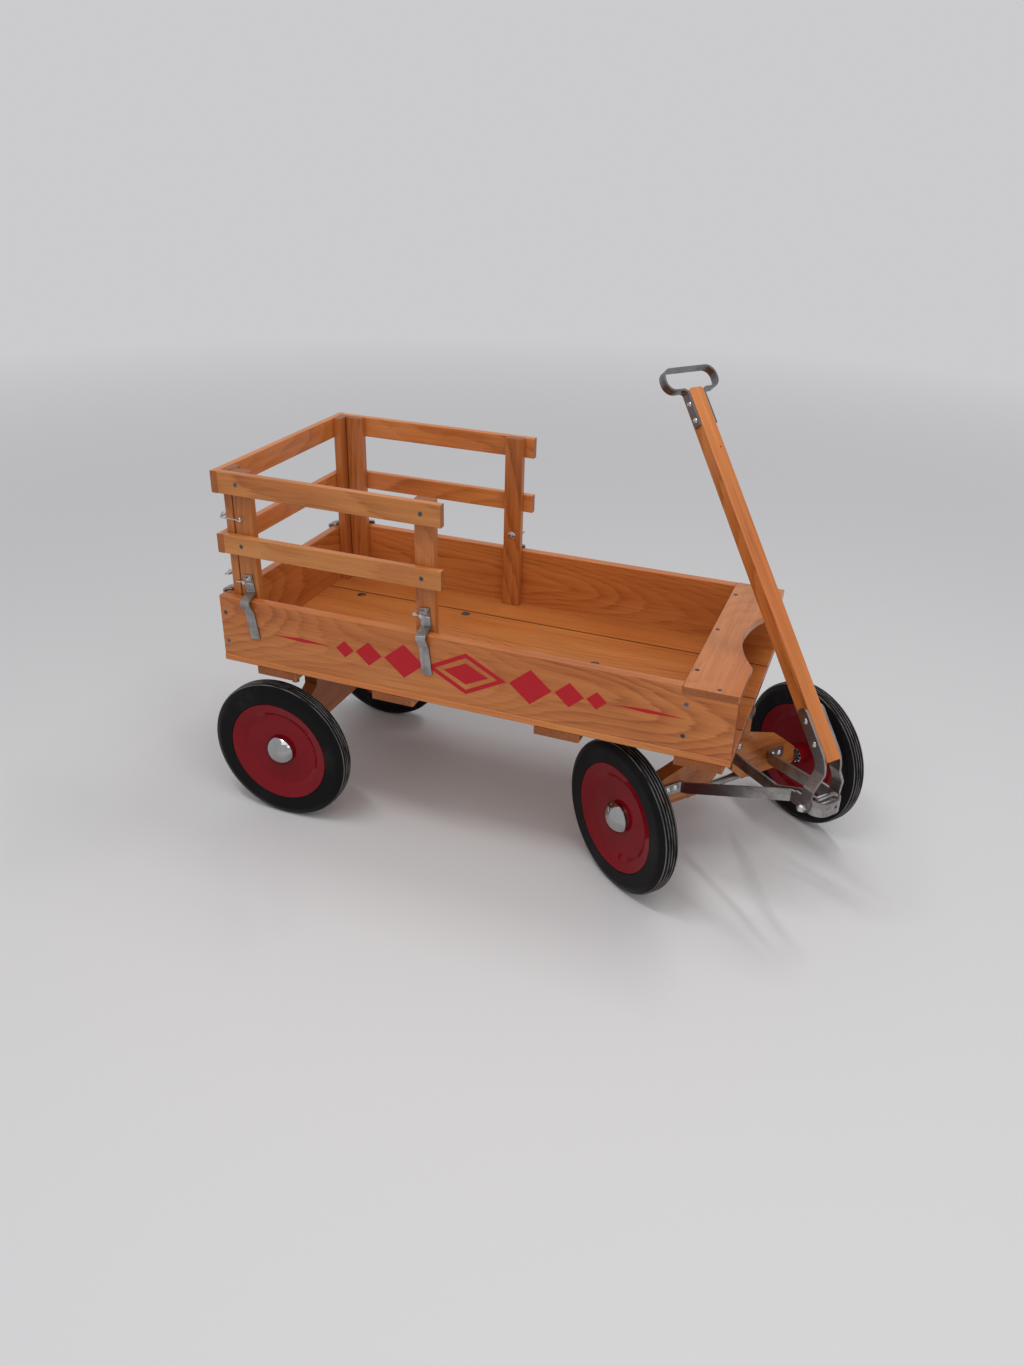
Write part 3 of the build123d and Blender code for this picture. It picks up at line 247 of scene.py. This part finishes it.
# oak under a reddish varnish
oak = {
    "light": (0.600, 0.226, 0.066),
    "middle": (0.432, 0.136, 0.032),
    "dark": (0.200, 0.044, 0.008),
    "darkAt": 0.08,               # the tones that these colours stand for
    "middleAt": 0.50,
    "lightAt": 0.95,
    "reddish": (0.99, 0.90, 0.80),
    "yellowish": (1.03, 1.06, 1.02),
    "warmthFrom": 0.36,           # of the drift
    "warmthTo": 0.64,
    "boardShift": 3.17,           # metres along the grain from one board's pattern to the next
    "ringSpacing": 0.0024,
    "strayAcross": 0.028,         # metres that a full noise moves the rings off a true circle
    "strayUp": 0.042,
    "taper": 0.026,               # slope of the tree's heart along the board
    "raggedness": 0.55,           # in ring spacings
    "bandFade": 1.8,              # how fast a dark band pales outward
    "bandStart": 0.86,            # share of a ring where the next band sets in
    "vigourFrom": 0.35,           # of the uneven noise
    "vigourTo": 0.68,
    "vigourLeast": 0.25,
    "tone": 0.66,
    "figure": 0.36,               # how strongly the rings show
    "streakTone": 0.62,
    "mottleTone": 0.50,
    "poreFrom": 0.52,
    "poreTo": 0.66,
    "poreTone": 0.05,
    "bandPoreTone": 0.12,
    "endFrom": 0.75,              # how far a face has to look along the grain to be end grain
    "endTo": 0.95,
    "endPale": 0.74,              # shade of the end grain between the bands and in them
    "endDark": 0.46,
    "endGreen": 0.92,             # shares of that shade
    "endBlue": 0.88,
    "tint": 1.0,
    # painted highlight: faces that look sideways are brightened by this share (1.0 = none)
    "edgeHighlight": 1.0,
    "highlightFacingFrom": 0.6,              # how far a face has to look sideways to take the painted highlight
    "highlightFacingTo": 0.9,
    # painted shade along the seams between planks: its strength, reach and colour
    "seamShade": 0.0,
    "seamNear": 0.0008,           # metres from a seam where the painted shade starts to thin, and its end
    "seamFar": 0.0030,
    "seamShadeColour": (0.035, 0.010, 0.003),
    "roughness": 0.36,
    "mottleRough": 0.14,
    "poreRough": 0.08,
    "endRough": 0.18,
    "poreDepth": 0.15,            # shares of the bump
    "bandPoreDepth": 0.4,
    "bandDepth": 0.12,
    "mottleHeight": 0.2,
    "bump": (0.30, 0.0004),       # strength, metres
    "specular": 0.30,
    "coat": 0.22,
    "coatRoughness": 0.12,
}

oakNoises = {
    # how fast it changes along the grain and across it, its shift, detail, roughness
    "wander": (1.6, 5.0, 0.0, 2.0, 0.5),       # moves the rings across
    "rise": (2.1, 4.0, 5.1, 1.0, 0.5),         # and up
    "ragged": (14.0, 160.0, 0.0, 2.0, 0.5),    # frays their edges
    "uneven": (1.1, 60.0, 9.0, 2.0, 0.5),      # makes some stronger than others
    "streak": (4.0, 200.0, 0.0, 4.0, 0.65),
    "pore": (30.0, 900.0, 0.0, 2.0, 0.6),
    "mottle": (4.5, 22.0, 0.0, 3.0, 0.5),
    "drift": (2.6, 9.0, 2.0, 2.0, 0.5),        # between reddish and yellowish
}


def oakNoise(finish, kind, x, y, z):
    along, across, shift, detail, roughness = oakNoises[kind]
    reach = x * along
    if shift:
        reach = reach + shift
    return finish.noise(finish.joined(reach, y * across, z * across), 1.0, detail, roughness)


def woodFinish(name, centre, turn, heart, splits=(), look=None, seed=0.0):
    # The grain runs along the turned X; heart is where the tree's middle lies, across the grain.
    finish = Finish(name)
    wood = {**oak, **(look or {})}
    grain = Euler(turn).to_matrix() @ Vector((1, 0, 0))
    whole = dict(zip("xyz", finish.parts(finish.place())))
    board = seed
    for axis, at in splits:                       # which board of the piece this is
        board = (whole[axis] > at) + board
    x, y, z = finish.parts(finish.mapped(centre, turn))
    x = x + board * wood["boardShift"]

    wander = oakNoise(finish, "wander", x, y, z)
    rise = oakNoise(finish, "rise", x, y, z)
    slant = x * wood["taper"]
    across = y + heart[0] + (wander - 0.5) * wood["strayAcross"]
    up = z + heart[1] + (rise - 0.5) * wood["strayUp"]
    if abs(heart[0]) > abs(heart[1]):
        across = across + slant
    else:
        up = up + slant
    radius = (across * across + up * up) ** 0.5
    ragged = oakNoise(finish, "ragged", x, y, z)
    rings = radius / wood["ringSpacing"] + (ragged - 0.5) * wood["raggedness"]
    step = finish.maths("FRACT", rings)
    fading = (1 - step) ** wood["bandFade"]
    band = finish.maths("MAXIMUM", fading, finish.range(step, wood["bandStart"], 1.0))
    uneven = oakNoise(finish, "uneven", x, radius, 0.0)
    vigour = finish.range(uneven, wood["vigourFrom"], wood["vigourTo"], wood["vigourLeast"], 1.0)

    streak = oakNoise(finish, "streak", x, y, z)
    pore = oakNoise(finish, "pore", x, y, z)
    poreMask = finish.range(pore, wood["poreFrom"], wood["poreTo"])
    mottle = oakNoise(finish, "mottle", x, y, z)
    tone = wood["tone"] - band * vigour * wood["figure"] - (streak - 0.5) * wood["streakTone"]
    tone = tone + (mottle - 0.5) * wood["mottleTone"]
    tone = tone - poreMask * (wood["poreTone"] + band * wood["bandPoreTone"])
    stops = [(wood[shade + "At"], wood[shade]) for shade in ("dark", "middle", "light")]
    colour = finish.node("ValToRGB", {"stops": stops}, {0: tone})

    facing = finish.node("TexCoord", out="Normal")
    dot = {"operation": "DOT_PRODUCT"}
    endFacing = finish.node("VectorMath", dot, {0: facing, 1: grain}, out=1)
    endGrain = finish.range(finish.maths("ABSOLUTE", endFacing), wood["endFrom"], wood["endTo"])
    endTone = finish.range(band, 0.0, 1.0, wood["endPale"], wood["endDark"])
    endShade = finish.joined(endTone, endTone * wood["endGreen"], endTone * wood["endBlue"])
    endColour = finish.mix(1.0, colour, endShade, "MULTIPLY")
    colour = finish.mix(endGrain, colour, endColour)

    drift = oakNoise(finish, "drift", x, y, z)
    warm = finish.range(drift, wood["warmthFrom"], wood["warmthTo"])
    warmth = finish.mix(warm, wood["reddish"], wood["yellowish"])
    colour = finish.mix(1.0, colour, warmth, "MULTIPLY")
    colour = finish.mix(1.0, colour, (wood["tint"],) * 3, "MULTIPLY")
    if wood["edgeHighlight"] != 1.0:                   # painted highlight: faces that look sideways made paler
        side = finish.maths("ABSOLUTE", finish.parts(facing)[1])
        edge = finish.range(side, wood["highlightFacingFrom"], wood["highlightFacingTo"])
        paintedHighlight = finish.mix(1.0, colour, (wood["edgeHighlight"],) * 3, "MULTIPLY")
        colour = finish.mix(edge, colour, paintedHighlight)
    # painted shade: darkens the wood along each seam between planks
    for axis, at in splits if wood["seamShade"] else ():
        fromSeam = finish.maths("ABSOLUTE", whole[axis] - at)
        near = finish.range(fromSeam, wood["seamNear"], wood["seamFar"], wood["seamShade"], 0.0)
        colour = finish.mix(near, colour, wood["seamShadeColour"])

    rough = wood["roughness"] + (mottle - 0.5) * wood["mottleRough"]
    rough = rough + poreMask * wood["poreRough"] + endGrain * wood["endRough"]
    height = 0.5 - poreMask * (wood["poreDepth"] + band * wood["bandPoreDepth"])
    height = height - band * wood["bandDepth"] + (mottle - 0.5) * wood["mottleHeight"]
    return finish.surface({
        "Base Color": colour,
        "Roughness": rough,
        "Normal": finish.bump(height, *wood["bump"]),
        "Specular IOR Level": wood["specular"],
        "Coat Weight": wood["coat"],
        "Coat Roughness": wood["coatRoughness"],
    })


# bare and plated metals
metals = {
    # colour, its stained colour, roughness, how fine the brushing is, how much of it is stained
    "strapSteel": ((0.40, 0.385, 0.375), (0.20, 0.180, 0.168), 0.31, 60.0, 0.70),
    "braceSteel": ((0.30, 0.265, 0.245), (0.14, 0.115, 0.100), 0.36, 60.0, 0.80),
    "gripSteel": ((0.235, 0.225, 0.235), (0.10, 0.092, 0.098), 0.30, 80.0, 0.65),
    "zinc": ((0.62, 0.62, 0.62), (0.30, 0.30, 0.31), 0.22, 200.0, 0.50),
    "darkBolts": ((0.22, 0.20, 0.21), (0.06, 0.048, 0.052), 0.38, 300.0, 0.80),
    "chrome": ((0.46, 0.45, 0.45), (0.20, 0.195, 0.195), 0.05, 120.0, 0.35),
    "bearingSteel": ((0.60, 0.60, 0.60), (0.42, 0.40, 0.38), 0.18, 300.0, 0.30),
}

# what all the metals share; a noise is its scale, detail and roughness
metalWear = {
    "brushAlong": 0.2,            # shares of how fine the brushing is
    "brushAcross": 6,
    "scratch": (1.0, 3.0, 0.65),
    "stain": (38.0, 4.0, 0.6),
    "speck": (420.0, 2.0, 0.5),
    "speckInStain": 0.25,
    "stainFrom": 0.42,
    "stainTo": 0.68,
    "streakFrom": 0.40,
    "streakTo": 0.66,
    "streakStain": 0.25,
    "scratchRough": 0.16,
    "stainRough": 0.12,
    "scratchHeight": 0.5,
    "speckHeight": 0.3,
    "bump": (0.12, 0.0002),       # strength, metres
}


def metalFinish(name, kind, turn=alongX, screws=None):
    finish = Finish(name)
    bright, stained, roughness, brushing, staining = metals[kind]
    wear = metalWear
    spot = finish.mapped(turn=turn)
    acrossBrush = brushing * wear["brushAcross"]
    brushed = finish.stretched(spot, (brushing * wear["brushAlong"], acrossBrush, acrossBrush))
    scratch = finish.noise(brushed, *wear["scratch"])
    stain = finish.noise(spot, *wear["stain"])
    speck = finish.noise(spot, *wear["speck"])
    blotch = stain + (speck - 0.5) * wear["speckInStain"]
    worn = finish.range(blotch, wear["stainFrom"], wear["stainTo"])
    streak = finish.range(scratch, wear["streakFrom"], wear["streakTo"])
    colour = finish.mix(worn * staining + streak * wear["streakStain"], bright, stained)
    if screws:                                    # the wood screws among them are darker
        z = finish.parts(finish.place())[2]
        among = (z > screws["from"]) * (1 - (z > screws["eyesFrom"]) * (z < screws["eyesTo"]))
        darkBright, darkStained = metals["darkBolts"][:2]
        colour = finish.mix(among, colour, finish.mix(worn, darkBright, darkStained))
    rough = roughness + (scratch - 0.5) * wear["scratchRough"] + worn * wear["stainRough"]
    height = scratch * wear["scratchHeight"] + speck * wear["speckHeight"]
    return finish.surface({
        "Base Color": colour,
        "Metallic": 1.0,
        "Roughness": rough,
        "Normal": finish.bump(height, *wear["bump"]),
    })


rubber = {
    "colour": (0.0058, 0.0052, 0.0060),
    "dust": (0.050, 0.046, 0.044),
    "scuff": (0.22, 0.21, 0.20),
    "cloud": (16.0, 4.0, 0.6),    # noises: scale, detail, roughness
    "grit": (300.0, 3.0, 0.6),
    "treadFrom": 0.1236,          # radius
    "treadBlend": 0.0014,
    "groovePitch": 0.0050,        # from one groove of the tread to the next
    "wholePitches": 10.0,         # keeps the count of grooves above zero
    "scuffFrom": 0.0009,          # from a groove's middle, on one side of it
    "scuffTo": 0.0022,
    "patchAround": 30.0,          # how fast the scuffs come and go
    "patchAcross": 300.0,
    "patch": (1.0, 4.0, 0.5),
    "patchFrom": 0.34,
    "patchTo": 0.56,
    "treadDust": 0.06,
    "gritDust": 0.3,
    "dustFrom": 0.54,
    "dustTo": 0.90,
    "dustCover": 0.45,
    "scuffCover": 0.75,
    "dustWear": 0.5,
    "roughness": 0.38,
    "wornRough": 0.25,
    "gritRough": 0.1,
    "mouldRings": 2600.0,         # fine rings of the mould, radians per metre
    "gritHeight": 0.4,
    "ringHeight": 0.05,
    "bump": (0.25, 0.0003),       # strength, metres
    "specular": 0.09,
}


def rubberFinish(name, centre, turn):
    finish = Finish(name)
    spot = finish.mapped(centre, turn)
    x, y, z = finish.parts(spot)
    radius = (x * x + z * z) ** 0.5
    cloud = finish.noise(spot, *rubber["cloud"])
    grit = finish.noise(spot, *rubber["grit"])
    tread = finish.range(radius, rubber["treadFrom"], rubber["treadFrom"] + rubber["treadBlend"])
    pitch = rubber["groovePitch"]                 # the middle grooves lie half of it off centre
    fromGroove = (finish.maths("FRACT", y / pitch + rubber["wholePitches"]) - 0.5) * pitch
    edge = (fromGroove > rubber["scuffFrom"]) * (fromGroove < rubber["scuffTo"])
    around, sideways = rubber["patchAround"], rubber["patchAcross"]
    patchSpot = finish.joined(x * around, y * sideways, z * around)
    patches = finish.noise(patchSpot, *rubber["patch"])
    patchy = finish.range(patches, rubber["patchFrom"], rubber["patchTo"])
    dust = cloud + tread * rubber["treadDust"] + (grit - 0.5) * rubber["gritDust"]
    dusty = finish.range(dust, rubber["dustFrom"], rubber["dustTo"])
    colour = finish.mix(dusty * rubber["dustCover"], rubber["colour"], rubber["dust"])
    scuffed = edge * tread * patchy
    colour = finish.mix(scuffed * rubber["scuffCover"], colour, rubber["scuff"])
    worn = finish.maths("MAXIMUM", dusty * rubber["dustWear"], scuffed)
    rough = rubber["roughness"] + worn * rubber["wornRough"] + (grit - 0.5) * rubber["gritRough"]
    ring = finish.maths("SINE", radius * rubber["mouldRings"])
    height = grit * rubber["gritHeight"] + ring * rubber["ringHeight"]
    return finish.surface({
        "Base Color": colour,
        "Roughness": rough,
        "Normal": finish.bump(height, *rubber["bump"]),
        "Specular IOR Level": rubber["specular"],
    })


enamel = {
    "colour": (0.250, 0.0045, 0.0110),
    "shade": (0.175, 0.0030, 0.0070),
    "dust": (0.28, 0.06, 0.06),
    "cloud": (22.0, 3.0, 0.5),    # noises: scale, detail, roughness
    "peel": (340.0, 1.0, 0.4),
    "specks": (90.0, 5.0, 0.7),
    "dustFrom": 0.60,
    "dustTo": 0.85,
    "dustCover": 0.16,
    "roughness": 0.30,
    "dustRough": 0.22,
    "cloudRough": 0.08,
    "bump": (0.10, 0.0004),       # strength, metres
    "specular": 0.0,
    "coat": 0.40,
    "coatRoughness": 0.025,
}


def enamelFinish(name):
    finish = Finish(name)
    spot = finish.mapped()
    cloud = finish.noise(spot, *enamel["cloud"])
    peel = finish.noise(spot, *enamel["peel"])
    specks = finish.noise(spot, *enamel["specks"])
    colour = finish.mix(cloud, enamel["colour"], enamel["shade"])
    dusty = finish.range(specks, enamel["dustFrom"], enamel["dustTo"])
    colour = finish.mix(dusty * enamel["dustCover"], colour, enamel["dust"])
    rough = enamel["roughness"] + dusty * enamel["dustRough"]
    rough = rough + (cloud - 0.5) * enamel["cloudRough"]
    return finish.surface({
        "Base Color": colour,
        "Roughness": rough,
        "Normal": finish.bump(peel, *enamel["bump"]),
        "Specular IOR Level": enamel["specular"],
        "Coat Weight": enamel["coat"],
        "Coat Roughness": enamel["coatRoughness"],
    })


signPaint = {
    "colour": (0.480, 0.008, 0.018),
    "thin": (0.40, 0.045, 0.030),
    "brushStroke": (40.0, 300.0, 300.0),   # how fast the cover changes along the board and across
    "cover": (1.0, 4.0, 0.65),             # noise: scale, detail, roughness
    "thinFrom": 0.56,
    "thinTo": 0.72,
    "thinShare": 0.55,
    "roughness": 0.42,
    "coverRough": 0.2,
    "bump": (0.2, 0.0003),                 # strength, metres
    "specular": 0.25,
}


def signPaintFinish(name):
    finish = Finish(name)
    strokes = finish.stretched(finish.mapped(), signPaint["brushStroke"])
    cover = finish.noise(strokes, *signPaint["cover"])
    thin = finish.range(cover, signPaint["thinFrom"], signPaint["thinTo"])
    colour = finish.mix(thin * signPaint["thinShare"], signPaint["colour"], signPaint["thin"])
    return finish.surface({
        "Base Color": colour,
        "Roughness": signPaint["roughness"] + (cover - 0.5) * signPaint["coverRough"],
        "Normal": finish.bump(cover, *signPaint["bump"]),
        "Specular IOR Level": signPaint["specular"],
    })


def dress(material, *nodes):
    for node in nodes:
        slots = frame["nodes"][node].data.materials
        slots.clear()
        slots.append(material)


def middleOf(node):
    low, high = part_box(node)
    return (low + high) / 2


boards = {
    # piece: (grain, heart, look, seed)
    "right_side_board": (
        alongX, (0.064, -0.010),
        {"figure": 0.34, "taper": 0.032, "ringSpacing": 0.0020, "tint": 1.07}, 2.3,
    ),
    "left_side_board": (alongX, (-0.080, 0.012), {"figure": 0.26, "tint": 1.14}, 3.3),
    "rear_board": (alongY, (0.09, 0.0), {"tint": 1.06}, 4.4),
    "front_board": (alongY, (0.07, 0.01), {}, 5.2),
    "seat_board": (alongY, (0.01, 0.085), {"figure": 0.24, "tint": 1.06, "coat": 0.34}, 6.7),
    "rear_bolster": (alongY, (0.05, 0.03), {"tint": 0.92}, 7.1),
    "front_bolster": (acrossGear, (0.05, 0.02), {"tint": 0.96}, 8.4),
    "handle_bar": (
        alongBar, (0.05, 0.03),
        {"tint": 1.25, "taper": 0.012, "figure": 0.42, "coat": 0.34}, 9.2,
    ),
}


def dressBoards():
    for node, (turn, heart, look, seed) in boards.items():
        dress(woodFinish(node + " oak", middleOf(node), turn, heart, (), look, seed), node)


bottom = {
    "plankWidths": (0.0932, 0.105, 0.121),    # from the right edge; the last takes the rest
    "plankHeart": (0.012, 0.075),
    # the planks take a painted highlight on their sideways edges and painted shade along their
    # seams
    "plankLook": {"figure": 0.24, "edgeHighlight": 1.24, "seamShade": 0.85},
    "betweenCleats": (0.2, 0.5, 0.8),         # shares of the cleats' whole length
    "cleatHeart": (0.02, 0.06),
    "cleatLook": {"tint": 0.94},
    "cleatSeed": 1.0,
}


def dressBottom():
    widths = bottom["plankWidths"]
    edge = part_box("deck_planks")[0].y
    seams = [("y", edge + sum(widths[:count])) for count in range(1, len(widths) + 1)]
    middle = middleOf("deck_planks")
    deck = woodFinish("deck oak", middle, alongX, bottom["plankHeart"], seams, bottom["plankLook"])
    dress(deck, "deck_planks")
    low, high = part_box("deck_cleats")
    gaps = [("x", low.x + (high.x - low.x) * share) for share in bottom["betweenCleats"]]
    cleats = woodFinish(
        "cleat oak", middleOf("deck_cleats"), alongY,
        bottom["cleatHeart"], gaps, bottom["cleatLook"], bottom["cleatSeed"],
    )
    dress(cleats, "deck_cleats")


racks = {
    # rack: (which way its posts are spread, look of its rails)
    "right_rack": (
        "x",
        {
            "tint": 1.08, "figure": 0.26,
            "reddish": (1.0, 1.02, 0.95), "yellowish": (1.04, 1.20, 1.24),
        },
    ),
    "left_rack": ("x", {"tint": 1.22, "figure": 0.26}),
    "rear_rack": ("y", {"tint": 1.18, "figure": 0.26}),
}

rackWood = {"heart": (0.045, 0.03), "postSeed": 10.6, "railSeed": 14.2}


def dressRacks():
    heart = rackWood["heart"]
    for count, (rack, (spread, railLook)) in enumerate(racks.items()):
        posts, rails = rack + "_posts", rack + "_rails"
        middle = middleOf(posts)
        split = [(spread, middle["xyz".index(spread)])]
        seed = count + rackWood["postSeed"]
        dress(woodFinish(posts + " oak", middle, alongZ, heart, split, {}, seed), posts)
        middle = middleOf(rails)
        grain = alongX if spread == "x" else alongY
        split = [("z", middle.z)]
        seed = count + rackWood["railSeed"]
        dress(woodFinish(rails + " oak", middle, grain, heart, split, railLook, seed), rails)


eyeReach = 0.008                  # metres that the screw eyes stand beyond the hooks, up and down


def dressMetal():
    steel = metalFinish("strap steel", "strapSteel", alongGear)
    dress(steel, "right_hound_strap", "left_hound_strap", "hitch_yoke")
    dress(steel, "upper_turntable", "lower_turntable")
    dress(metalFinish("brace steel", "braceSteel", alongGear), "center_strap")
    dress(metalFinish("axle steel", "strapSteel", alongY), "rear_axle")
    dress(metalFinish("front axle steel", "strapSteel", acrossGear), "front_axle")
    leaning = metalFinish("handle strap steel", "strapSteel", alongBar)
    dress(leaning, "right_handle_strap", "left_handle_strap")
    dress(metalFinish("grip steel", "gripSteel", alongBar), "handle_grip")
    clipSteel = metalFinish("clip steel", "strapSteel", alongZ)
    dress(clipSteel, "right_rack_clips", "left_rack_clips", "rear_rack_clips")
    hookLow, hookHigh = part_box("right_hook")
    screws = {
        "from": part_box("right_rack_rails")[0].z,
        "eyesFrom": hookLow.z - eyeReach,
        "eyesTo": hookHigh.z + eyeReach,
    }
    mixed = metalFinish("rack zinc", "zinc", alongX, screws)
    dress(mixed, "right_rack_fasteners", "left_rack_fasteners", "rear_rack_fasteners")
    zinc = metalFinish("bright zinc", "zinc")
    dress(zinc, "right_hook", "left_hook", "hitch_bolt", "hitch_spacer", "gear_bolts")
    dress(zinc, "handle_rivets", "king_bolt", "front_axle_hardware", "rear_axle_hardware")
    dress(metalFinish("darkened bolts", "darkBolts"), "deck_bolts", "box_screws")


def dressWheels():
    red = enamelFinish("wheel enamel")
    chrome = metalFinish("cap chrome", "chrome")
    balls = metalFinish("ball steel", "bearingSteel")
    for end, turn in (("rear", alongX), ("front", alongGear)):
        for side in ("right", "left"):
            wheel = f"{end}_{side}_"
            dress(rubberFinish(wheel + "rubber", middleOf(wheel + "tyre"), turn), wheel + "tyre")
            dress(red, wheel + "disc")
            dress(chrome, wheel + "hub_cap")
            dress(balls, wheel + "bearings")


# painted on the side boards: a row of diamonds between tapering stripes
ornament = {
    "middleShare": 0.515,          # of the board's length, from its rear end
    "height": 0.052,               # above the board's foot
    "thickness": 0.00014,
    "diamonds": (                  # offset along the board, length, height, outline (0 = solid)
        (0.0, 0.132, 0.070, 0.0070),
        (0.0, 0.074, 0.036, 0.0),
        (0.104, 0.068, 0.058, 0.0),
        (0.165, 0.046, 0.041, 0.0),
        (0.207, 0.032, 0.029, 0.0),
        (0.284, 0.108, 0.0064, 0.0),
    ),
}


def addDiamond(x, length, height, outline):
    bpy.ops.object.select_all(action="DESELECT")
    bpy.ops.mesh.primitive_circle_add(vertices=4, radius=0.5, fill_type="NGON", location=(0, 0, 0))
    diamond = bpy.context.object
    bpy.ops.object.mode_set(mode="EDIT")
    bpy.ops.mesh.select_all(action="SELECT")
    bpy.ops.transform.resize(value=(length, height, 1))
    if outline:
        bpy.ops.mesh.inset(thickness=outline, use_even_offset=True)
        bpy.ops.mesh.delete(type="FACE")
        bpy.ops.mesh.select_all(action="SELECT")
    rise = (0, 0, ornament["thickness"])
    bpy.ops.mesh.extrude_region_move(TRANSFORM_OT_translate={"value": rise})
    bpy.ops.mesh.select_all(action="SELECT")
    bpy.ops.mesh.normals_make_consistent(inside=False)
    bpy.ops.transform.translate(value=(x, 0, 0))
    bpy.ops.object.mode_set(mode="OBJECT")
    return diamond


def addOrnament(board, side):
    low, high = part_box(board)
    shapes = []
    for offset, length, height, outline in ornament["diamonds"]:
        for flip in ((1,) if offset == 0 else (1, -1)):
            shapes.append(addDiamond(offset * flip, length, height, outline))
    bpy.ops.object.select_all(action="DESELECT")
    for shape in shapes:
        shape.select_set(True)
    bpy.context.view_layer.objects.active = shapes[0]
    bpy.ops.object.join()
    piece = bpy.context.object
    piece.name = board.replace("board", "ornament")
    piece.data.name = piece.name
    face = low.y if side < 0 else high.y
    middle = low.x + (high.x - low.x) * ornament["middleShare"]
    piece.rotation_euler = (radians(90), 0, 0 if side < 0 else radians(180))
    piece.location = (middle, face, low.z + ornament["height"])
    bpy.ops.object.transform_apply(location=True, rotation=True, scale=True)
    piece.data.materials.append(signPaintFinish(piece.name + " paint"))
    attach(piece, "root")


def addFloor():
    bpy.ops.object.select_all(action="DESELECT")
    bpy.ops.mesh.primitive_plane_add(size=studio["floorSize"], location=(0, 0, floorHeight))
    floor = bpy.context.object
    floor.name = "studio_floor"
    finish = Finish("pale floor")
    x, y, z = finish.parts(finish.place())
    far = finish.range((x * x + y * y) ** 0.5, studio["fadeStart"], studio["fadeEnd"])
    pale = {"Base Color": asColour(studio["floor"]), "Roughness": studio["floorRoughness"]}
    near = finish.node("BsdfPrincipled", {}, pale)
    glow = {0: asColour(studio["background"]), 1: studio["shownStrength"]}
    horizon = finish.node("Emission", {}, glow)
    both = finish.node("MixShader", {}, {0: far, 1: near, 2: horizon})
    finish.putOut(both)
    floor.data.materials.append(finish.material)


def lightWorld():
    world = bpy.data.worlds.new("pale room")
    bpy.context.scene.world = world
    world.use_nodes = True
    sky = Finish("", world.node_tree)
    path = sky.node("LightPath", out="Is Camera Ray")
    outputs = path.socket.node.outputs
    shown = path + Lead(sky, outputs["Is Glossy Ray"]) + Lead(sky, outputs["Is Transmission Ray"])
    strength = sky.range(shown, 0.0, 1.0, studio["worldStrength"], studio["shownStrength"])
    background = sky.node("Background", {}, {0: asColour(studio["background"]), 1: strength})
    sky.putOut(background, "OutputWorld")


addCamera()
addLamps()
lightWorld()
addFloor()
print("studio ready")
dressBoards()
dressBottom()
dressRacks()
print("wood dressed")
dressMetal()
dressWheels()
print("metal and wheels dressed")
addOrnament("right_side_board", -1)
addOrnament("left_side_board", 1)
print("ornaments painted")

bpy.context.scene.view_settings.view_transform = "Standard"
